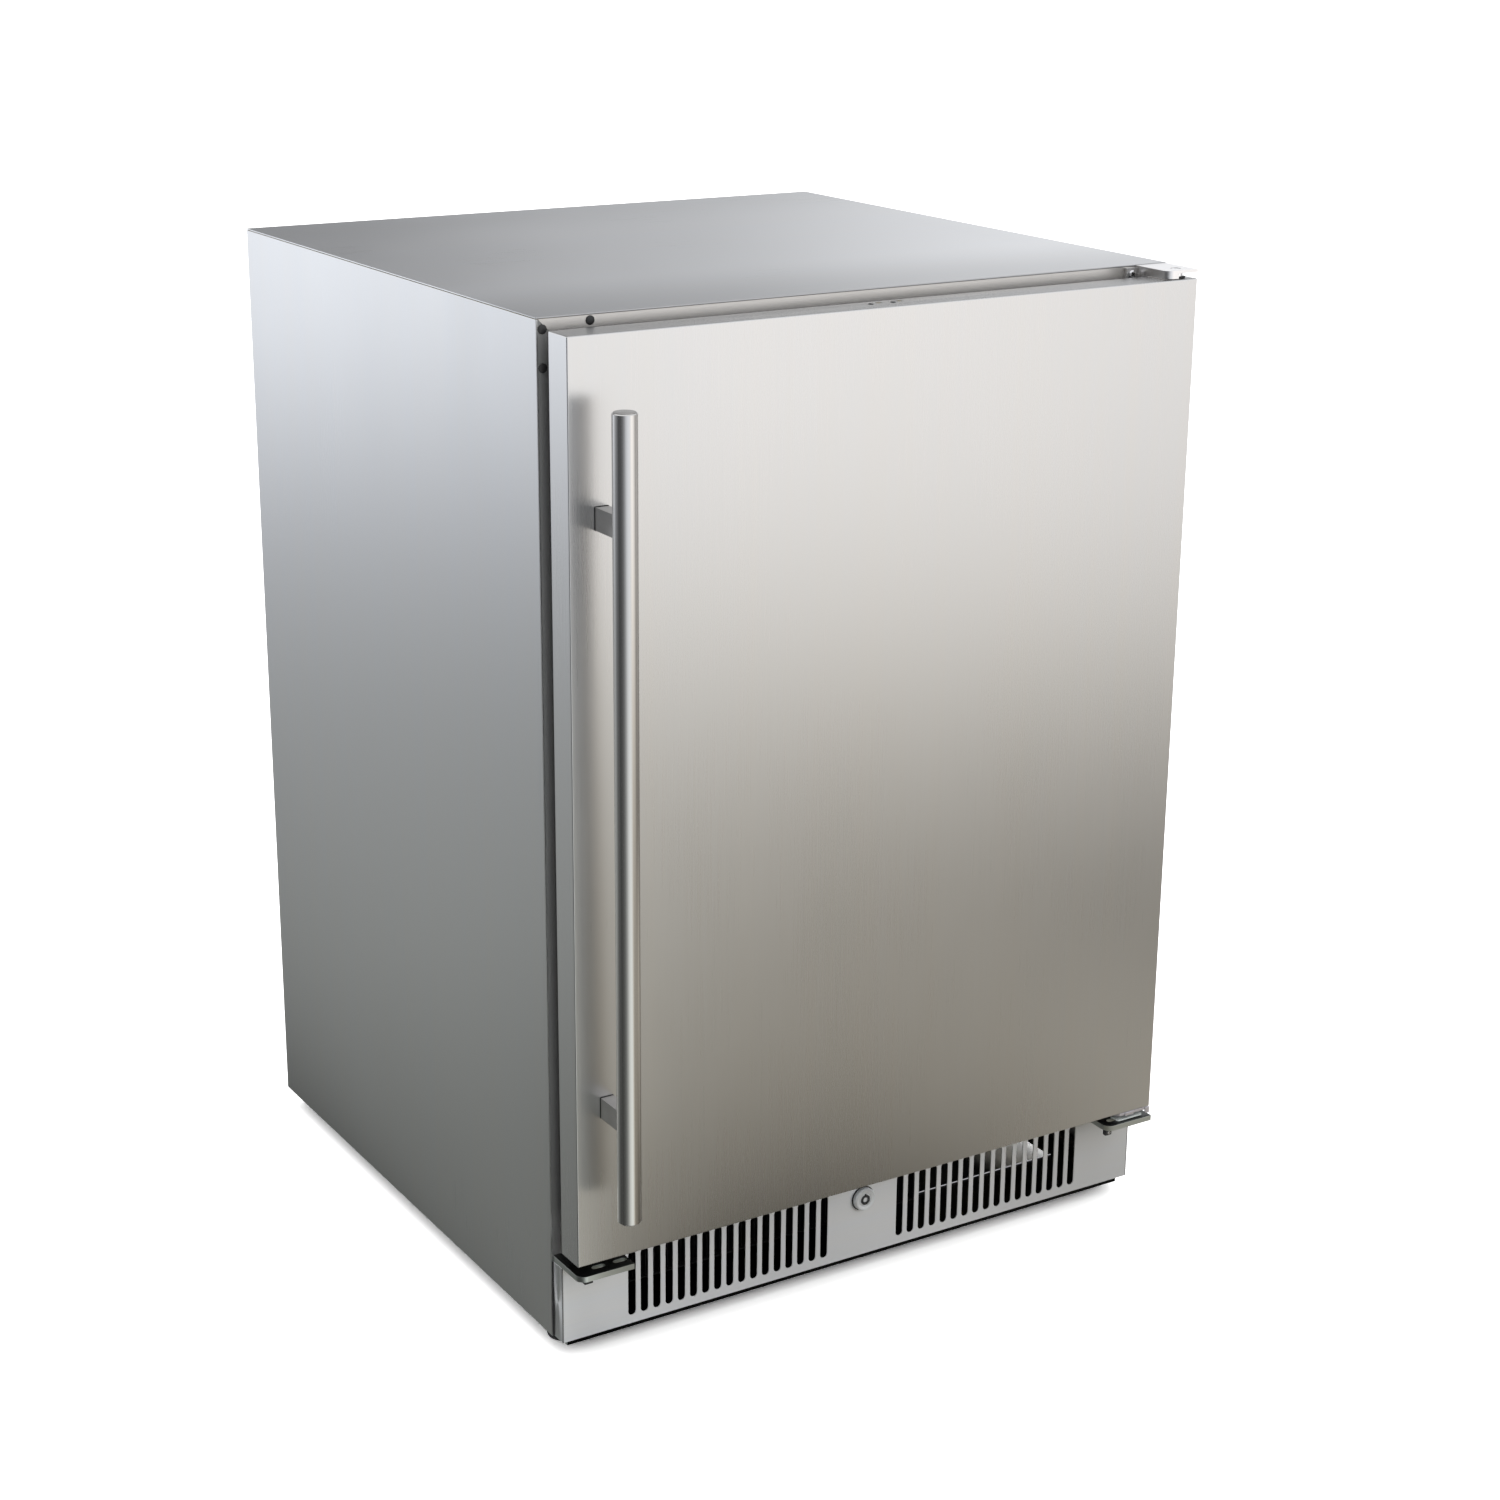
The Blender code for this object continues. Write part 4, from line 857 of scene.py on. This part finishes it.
def make_key_marks():
    """Plain marks on the four keys: a power ring, a lamp's ray star, and up and down arrows."""
    z, y = 0.79835, 0.0205
    marks = {key: bmesh.new() for key in KEYS}
    bm = marks["power"]
    turns = [math.radians(a) for a in range(35, 326, 29)]
    add_tube(bm, [(-0.085 + 0.0022 * math.sin(t), y, z + 0.0022 * math.cos(t)) for t in turns], 0.00022, 6)
    add_tube(bm, [(-0.085, y, z + 0.0008), (-0.085, y, z + 0.0028)], 0.00022, 6)
    bm = marks["light"]
    for k in range(8):
        c, s = math.cos(k * math.pi / 4), math.sin(k * math.pi / 4)
        inner, outer = (-0.055 + 0.0014 * c, y, z + 0.0014 * s), (-0.055 + 0.0027 * c, y, z + 0.0027 * s)
        add_tube(bm, [inner, outer], 0.0002, 6)
    add_lathe(bm, [(0, -0.0002), (0.0009, -0.0002), (0.0009, 0.0002), (0, 0.0002)], (-0.055, y, z), "Y", 12)
    for key, x, way in (("warmer", 0.055, 1), ("cooler", 0.085, -1)):
        outline = [(x - 0.0024, z - way * 0.0014), (x + 0.0024, z - way * 0.0014), (x, z + way * 0.0026)]
        add_plate(marks[key], outline, "Y", y - 0.0001, y + 0.0001)
    for key, bm in marks.items():
        make_piece(f"{key}_mark", bm, "black", f"{key}_button")


# ---- hinges, lock and feet


def make_hinge_details():
    """The lower hinge's spacer and plate, and the brackets' screws and clips."""
    bm = bmesh.new()
    screw = (0.2605, -0.0033, 0.8427)
    add_screw(bm, screw, (0, -1, 0), 0.0037, 0.0019, 0.5)
    add_lathe(bm, [(0, 0.0004), (0.0021, 0.0004), (0.0021, 0.0049), (0, 0.0049)], screw, "Y", 12)
    make_piece("top_bracket_screw", bm, "bright", "cabinet", ["top_hinge_screw"])

    bm = bmesh.new()
    outline = rounded_loop(0.0145, 0.0095, 0.0025, 4, (0.2765, -0.0335))
    add_plate(bm, outline, "Z", 0.0756, 0.0768, [hinge_hole(0.0079)])
    make_piece("hinge_spacer", bm, "spacer", "cabinet")

    bm = bmesh.new()
    outline = [(0.2640, -0.0428), (0.2968, -0.0428), (0.2968, -0.0170), (0.2600, -0.0170), (0.2600, -0.0388)]
    add_plate(bm, outline, "Z", 0.0800, 0.0828, [hinge_hole(0.0053)])
    add_box(bm, (0.2700, -0.0434, 0.0792), (0.2800, -0.0428, 0.0826))
    add_box(bm, (0.2935, -0.0434, 0.0764), (0.2985, -0.0422, 0.0826))
    make_piece("hinge_plate", bm, "plate", "door", ["door_hinge_plate"], edge=0.0003)

    bm = bmesh.new()
    add_box(bm, (0.2490, -0.0425, 0.0640), (0.2560, -0.0380, 0.0697))
    add_box(bm, (-0.2915, -0.0430, 0.0655), (-0.2835, -0.0390, 0.0697))
    make_piece("bracket_clips", bm, "black", "cabinet", edge=0.0006)
    bm = bmesh.new()
    add_screw(bm, (0.2525, -0.0425, 0.0668), (0, -1, 0), 0.0016, 0.0008)
    for side in (-1, 1):
        for z in (0.0300, 0.0540):
            add_screw(bm, (side * 0.2730, -0.0050, z), (0, -1, 0), 0.0046, 0.0022, 0.4 * side + z * 20)
    make_piece("bracket_screws", bm, "bright", "cabinet")


def make_lock_details():
    """A black ring and notch laid on the lock's face, painted shade for the slot that the tubular key
    enters, and a black ring behind the barrel's rim, a painted shadow round the barrel.
    """
    front, z = -0.0205, 0.0555
    bm = bmesh.new()
    # A black ring and notch on the face: painted shade for the key's slot.
    add_washer(bm, (0, front, z), 0.0024, 0.0047, 0.0002, 0.0012)
    add_box(bm, (-0.0007, front + 0.0002, z + 0.0040), (0.0007, front + 0.0007, z + 0.0056))
    make_piece("lock_keyway_shade", bm, "rubber", "lock")
    bm = bmesh.new()
    # A black ring behind the barrel's rim: a painted shadow round the barrel.
    add_washer(bm, (0, front, z), 0.0098, 0.0114, 0.0044, 0.0049)
    make_piece("lock_shadow_ring", bm, "rubber", "cabinet")


def make_base_details():
    """Edge strips that close the base at its sides, a glowing strip that is a painted highlight along the
    air opening's edge, and small trim.
    """
    bm = bmesh.new()
    add_side_boxes(bm, (0.2870, 0.0020, -0.0004), (0.2986, 0.5600, 0.0050))
    make_piece("base_edge_strips", bm, "enamel", "cabinet", edge=0.0004)
    bm = bmesh.new()
    # A glowing strip: a painted highlight along the air opening's edge.
    add_box(bm, (0.0160, 0.0549, -0.0004), (0.2645, 0.0557, 0.0002))
    make_piece("base_opening_glint", bm, "edge_glint", "cabinet", edge=0.0002)
    bm = bmesh.new()
    add_side_boxes(bm, (0.2955, -0.0012, 0.0005), (0.2990, -0.00035, 0.0690))
    make_piece("toe_grille_edges", bm, "rubber", "cabinet", edge=0.0002)
    bm = bmesh.new()
    outline = [(-0.2985, 0.8487), (-0.2717, 0.8219), (-0.2717, 0.8135), (0.2715, 0.8135), (0.2715, 0.8487)]
    add_plate(bm, outline, "Y", -0.00028, -0.00006)
    make_piece("top_rail_face", bm, "rail", "cabinet")
    bm = bmesh.new()
    for side in (-1, 1):
        middle = (-0.270, DOOR_MIDDLE_Z + side * 0.2415)
        loop = rounded_loop(0.0064, 0.0094, 0.0012, 3, middle)
        hole = rounded_loop(0.0040, 0.0070, 0.0012, 3, middle)
        add_plate(bm, loop, "Y", -0.04445, -0.04392, [hole])
    make_piece("post_gaskets", bm, "rubber", "door")


def make_feet():
    """Each levelling foot: a rounded pad with a hexagon for the spanner, and a threaded stem."""
    pad_low, pad_high, stem_top = -0.017, -0.0095, 0.0200
    places = ((-0.275, 0.025), (0.275, 0.025), (-0.262, 0.530), (0.262, 0.530))
    for name, (x, y) in zip(CORNERS, places):
        bm = bmesh.new()
        profile = [(0, pad_low), (0.0125, pad_low), (0.0143, pad_low + 0.0006), (0.0150, pad_low + 0.0022)]
        profile += [(0.0150, pad_low + 0.0040), (0.0142, pad_low + 0.0055)]
        profile += [(0.0118, pad_high - 0.0004), (0, pad_high)]
        add_lathe(bm, profile, (x, y, 0), "Z", 36)
        make_piece(f"foot_pad_{name}", bm, "black", f"foot_{name}", [f"foot_{name}"])
        bm = bmesh.new()
        nut = [(0, pad_high), (0.0072, pad_high), (0.0072, -0.0072), (0.0066, -0.0069), (0, -0.0069)]
        add_lathe(bm, nut, (x, y, 0), "Z", 6)
        add_tube(bm, [(x, y, pad_high), (x, y, stem_top)], 0.0032, 14)
        pitch, steps, low, radius = 0.00125, 14, -0.0065, 0.0034
        points = []
        for k in range(1 + int((stem_top - 0.0008 - low) / pitch * steps)):
            c, s = math.cos(math.tau * k / steps), math.sin(math.tau * k / steps)
            points.append((x + radius * c, y + radius * s, low + pitch * k / steps))
        add_tube(bm, points, 0.00035, 5)
        make_piece(f"foot_stem_{name}", bm, "bright", f"foot_{name}")


# ---- back


def make_rear_details():
    """Screws round the rear panels."""
    depth = 0.5646
    bm = bmesh.new()
    places = [(x, z) for x in (-0.285, -0.095, 0.095, 0.285) for z in (0.014, 0.290)]
    places += [(side * 0.285, z) for side in (-1, 1) for z in (0.325, 0.500, 0.680, 0.825)]
    places += [(x, z) for x in (-0.095, 0.095) for z in (0.325, 0.825)]
    for k, (x, z) in enumerate(places):
        add_screw(bm, (x, depth - 0.0004, z), (0, 1, 0), 0.0042, 0.0004, k * 0.7)
    make_piece("rear_screws", bm, "bright", "cabinet")


make_seal()
make_door_liner()
make_handle_ends()
make_door_top_plugs()
make_tub()
make_wire_shelves()
make_fan_blades("evaporator_fan", (0, 0.722), 0.042, 0.4780, 0.4975, 5)
make_fan_blades("condenser_fan", (-0.070, 0.048), 0.041, 0.092, 0.116, 6)
make_condenser()
make_pipework()
make_digits()
make_key_marks()
make_hinge_details()
make_lock_details()
make_base_details()
make_feet()
make_rear_details()

# ---- stage, light and camera

# What polished surfaces see round the object, by azimuth in degrees: 0 is in front, 90 to the right.
# Each row is the brightness, and which of three ways the floor darkens towards the object:
# (as in front of the door, as behind and beside, not at all).
AHEAD, BEHIND, LEVEL = (1, 0, 0), (0, 1, 0), (0, 0, 1)
AROUND = [
    (-180, 0.55, BEHIND), (-167, 1.20, BEHIND), (-155, 1.50, BEHIND), (-140, 1.20, BEHIND),
    (-122, 0.60, BEHIND), (-106, 0.36, BEHIND), (-88, 0.11, (0, 0.5, 0.5)), (-67, 0.11, LEVEL),
    (-49, 0.20, LEVEL), (-34, 0.42, LEVEL), (-20, 0.78, LEVEL), (-8, 0.98, LEVEL), (4, 1.08, LEVEL),
    (14, 1.12, (0.2, 0, 0.8)), (23, 1.38, (0.8, 0, 0.2)), (30, 1.52, AHEAD), (42, 1.40, AHEAD),
    (50, 1.25, AHEAD), (62, 0.80, AHEAD), (74, 0.50, AHEAD), (90, 0.70, AHEAD),
    (110, 1.10, (0.5, 0.5, 0)), (130, 1.55, BEHIND), (142, 1.15, BEHIND), (150, 0.62, BEHIND),
    (158, 0.26, BEHIND), (170, 0.22, BEHIND), (180, 0.55, BEHIND),
]
FRONT_FALL = [(0.0, 0.17), (0.35, 0.20), (0.65, 0.25), (0.9, 0.28), (1.2, 0.34), (1.6, 0.45),
              (2.0, 0.62), (2.6, 0.83), (3.5, 0.97), (6.0, 1.0)]
BACK_FALL = [(0.0, 0.14), (0.5, 0.20), (1.0, 0.28), (2.0, 0.37),
             (3.0, 0.52), (4.2, 0.82), (5.2, 1.02), (6.5, 1.16)]
FALL_REACH = 8.0
PALE_PATCH = place(0.60, -0.143, 0.0)
PATCH_RADIUS, PATCH_LEVEL = 0.70, 0.33
TOP_LIGHT = 1.05
SHOWN_WHITE = 1.55


def turn_of(tree, x, y):
    """The azimuth of (x, y), from 0 to 1 over the whole turn."""
    azimuth = tree.math("ARCTAN2", x, tree.times(y, -1.0))
    return tree.plus(tree.math("DIVIDE", azimuth, math.tau), 0.5)


def brightness_at(tree, turn):
    brightest = 2.0
    stops = [((azimuth + 180) / 360, value / brightest) for azimuth, value, _ in AROUND]
    return tree.times(tree.channels(tree.ramp(turn, stops))[0], brightest)


def make_world():
    world = bpy.data.worlds.new("studio")
    bpy.context.scene.world = world
    world.use_nodes = True
    tree = Tree(world.node_tree)
    world.node_tree.nodes.clear()
    x, y, z = tree.split(tree.add("ShaderNodeTexCoord").outputs["Generated"])
    around = brightness_at(tree, turn_of(tree, x, y))
    low = tree.times(around, tree.remap(z, 0.112, 0.22, 1.12, 0.85))
    high_part = tree.remap(z, 0.38, 0.80, smooth=True)
    low_part = tree.minus(1.0, high_part)
    level = tree.plus(tree.times(low, low_part), tree.times(high_part, TOP_LIGHT))
    seen = tree.scaled((0.985, 1.0, 1.025), level)
    glossy = tree.add("ShaderNodeLightPath").outputs["Is Glossy Ray"]
    colour = tree.mix(glossy, (SHOWN_WHITE,) * 3, seen)
    background = tree.add("ShaderNodeBackground", {"Color": colour, "Strength": 1.0})
    tree.add("ShaderNodeOutputWorld", {"Surface": background.outputs[0]})
    world.cycles.sampling_method = "NONE"


def make_floor():
    """A pale floor. To a polished surface it is a studio floor that is dark at the object's foot."""
    bm = bmesh.new()
    bmesh.ops.create_circle(bm, cap_ends=True, segments=64, radius=40)
    floor = new_object("floor", bm)
    material = bpy.data.materials.new("studio_floor")
    material.use_nodes = True
    tree = Tree(material.node_tree)
    material.node_tree.nodes.clear()
    floor_x, floor_y, _ = tree.split(tree.add("ShaderNodeNewGeometry").outputs["Position"])
    bar_low, bar_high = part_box("handle_bar")
    middle = (bar_low + bar_high) / 2
    x = tree.minus(floor_x, middle.x)
    y = tree.minus(floor_y, middle.y)
    turn = turn_of(tree, x, y)
    reach = tree.math("SQRT", tree.plus(tree.times(x, x), tree.times(y, y)))
    nearness = tree.math("DIVIDE", reach, FALL_REACH)
    ways = tree.ramp(turn, [((azimuth + 180) / 360, way) for azimuth, _, way in AROUND], "LINEAR")
    front, back, fall = tree.channels(ways)[:3]
    for way, steps in ((back, BACK_FALL), (front, FRONT_FALL)):
        ramp = tree.ramp(nearness, [(r / FALL_REACH, v) for r, v in steps], "LINEAR")
        fall = tree.math("MULTIPLY_ADD", way, tree.channels(ramp)[0], fall)
    level = tree.times(brightness_at(tree, turn), fall)
    patch_x = tree.minus(floor_x, PALE_PATCH.x)
    patch_y = tree.minus(floor_y, PALE_PATCH.y)
    squares = tree.math("MULTIPLY_ADD", patch_x, patch_x, tree.times(patch_y, patch_y))
    patch = tree.remap(tree.math("SQRT", squares), 0.0, PATCH_RADIUS, PATCH_LEVEL, 0.0, smooth=True)
    level = tree.plus(level, patch)
    near_tint = tree.mix(front, (0.99, 1.03, 0.99), (1.08, 1.0, 0.84))
    far_tint = tree.mix(front, (0.96, 1.0, 1.07), (1.02, 0.995, 0.975))
    tint = tree.mix(tree.remap(reach, 0.4, 3.2), near_tint, far_tint)
    emission = tree.add("ShaderNodeEmission", {"Color": tree.scaled(tint, level)})
    speck = tree.noise(tree.add("ShaderNodeTexCoord").outputs["Object"], (3.0, 3.0, 3.0), 2.0)
    path = tree.add("ShaderNodeLightPath").outputs
    white = tree.mix(speck, (0.86, 0.86, 0.86), (0.88, 0.88, 0.88))
    shown = tree.mix(speck, (1.33, 1.33, 1.33), (1.36, 1.36, 1.36))
    # Under the base tray's air opening the floor's colour is painted darker for the view through the grille,
    # a painted shadow that turns into painted light, up to twice as bright, towards the right side panel.
    from_middle = tree.math("ABSOLUTE", tree.minus(floor_x, 0.144))
    under = tree.math("LESS_THAN", from_middle, 0.144)
    under = tree.times(under, tree.math("GREATER_THAN", floor_y, FRONT_Y + 0.052))
    under = tree.times(under, tree.math("LESS_THAN", floor_y, side_high.y - 0.12))
    depth = tree.remap(floor_x, 0.205, 0.290, 0.02, 2.0, smooth=True)
    shown = tree.scaled(shown, tree.math("MULTIPLY_ADD", under, tree.minus(depth, 1.0), 1.0))
    diffuse = tree.add("ShaderNodeBsdfDiffuse", {"Color": tree.mix(path["Is Camera Ray"], white, shown)})
    glossy = path["Is Glossy Ray"]
    surface = tree.add("ShaderNodeMixShader", {0: glossy, 1: diffuse.outputs[0], 2: emission.outputs[0]})
    tree.add("ShaderNodeOutputMaterial", {"Surface": surface.outputs[0]})
    material.cycles.emission_sampling = "NONE"
    floor.data.materials.append(material)


def make_lights():
    for name, where, size, power in (
        ("soft_top", (0.0, 0.0, 4.0), 5.0, 60.0),
        ("soft_front", (-2.5, -4.0, 3.0), 3.0, 30.0),
    ):
        light = bpy.data.lights.new(name, "AREA")
        light.shape = "SQUARE"
        light.size = size
        light.energy = power
        obj = bpy.data.objects.new(name, light)
        obj.location = where
        obj.rotation_euler = (Vector((0, 0, 0.4)) - Vector(where)).to_track_quat("-Z", "Y").to_euler()
        obj.visible_glossy = False
        obj.visible_camera = False
        bpy.context.scene.collection.objects.link(obj)


def make_camera():
    data = bpy.data.cameras.new("camera")
    data.sensor_width = 36.0
    data.lens = 66.22
    data.clip_end = 200.0
    camera = bpy.data.objects.new("camera", data)
    bpy.context.scene.collection.objects.link(camera)
    eye, target = Vector((-1.23592, -2.04953, 1.20000)), Vector((-0.11847, -0.25, 0.50480))
    turn = (target - eye).to_track_quat("-Z", "Y").to_matrix().to_4x4()
    camera.matrix_world = Matrix.Translation(eye) @ turn @ Matrix.Rotation(math.radians(0.492), 4, "Z")
    bpy.context.scene.camera = camera


make_world()
make_floor()
make_lights()
make_camera()
bpy.context.scene.view_settings.view_transform = "Standard"
bpy.context.scene.view_settings.look = "None"
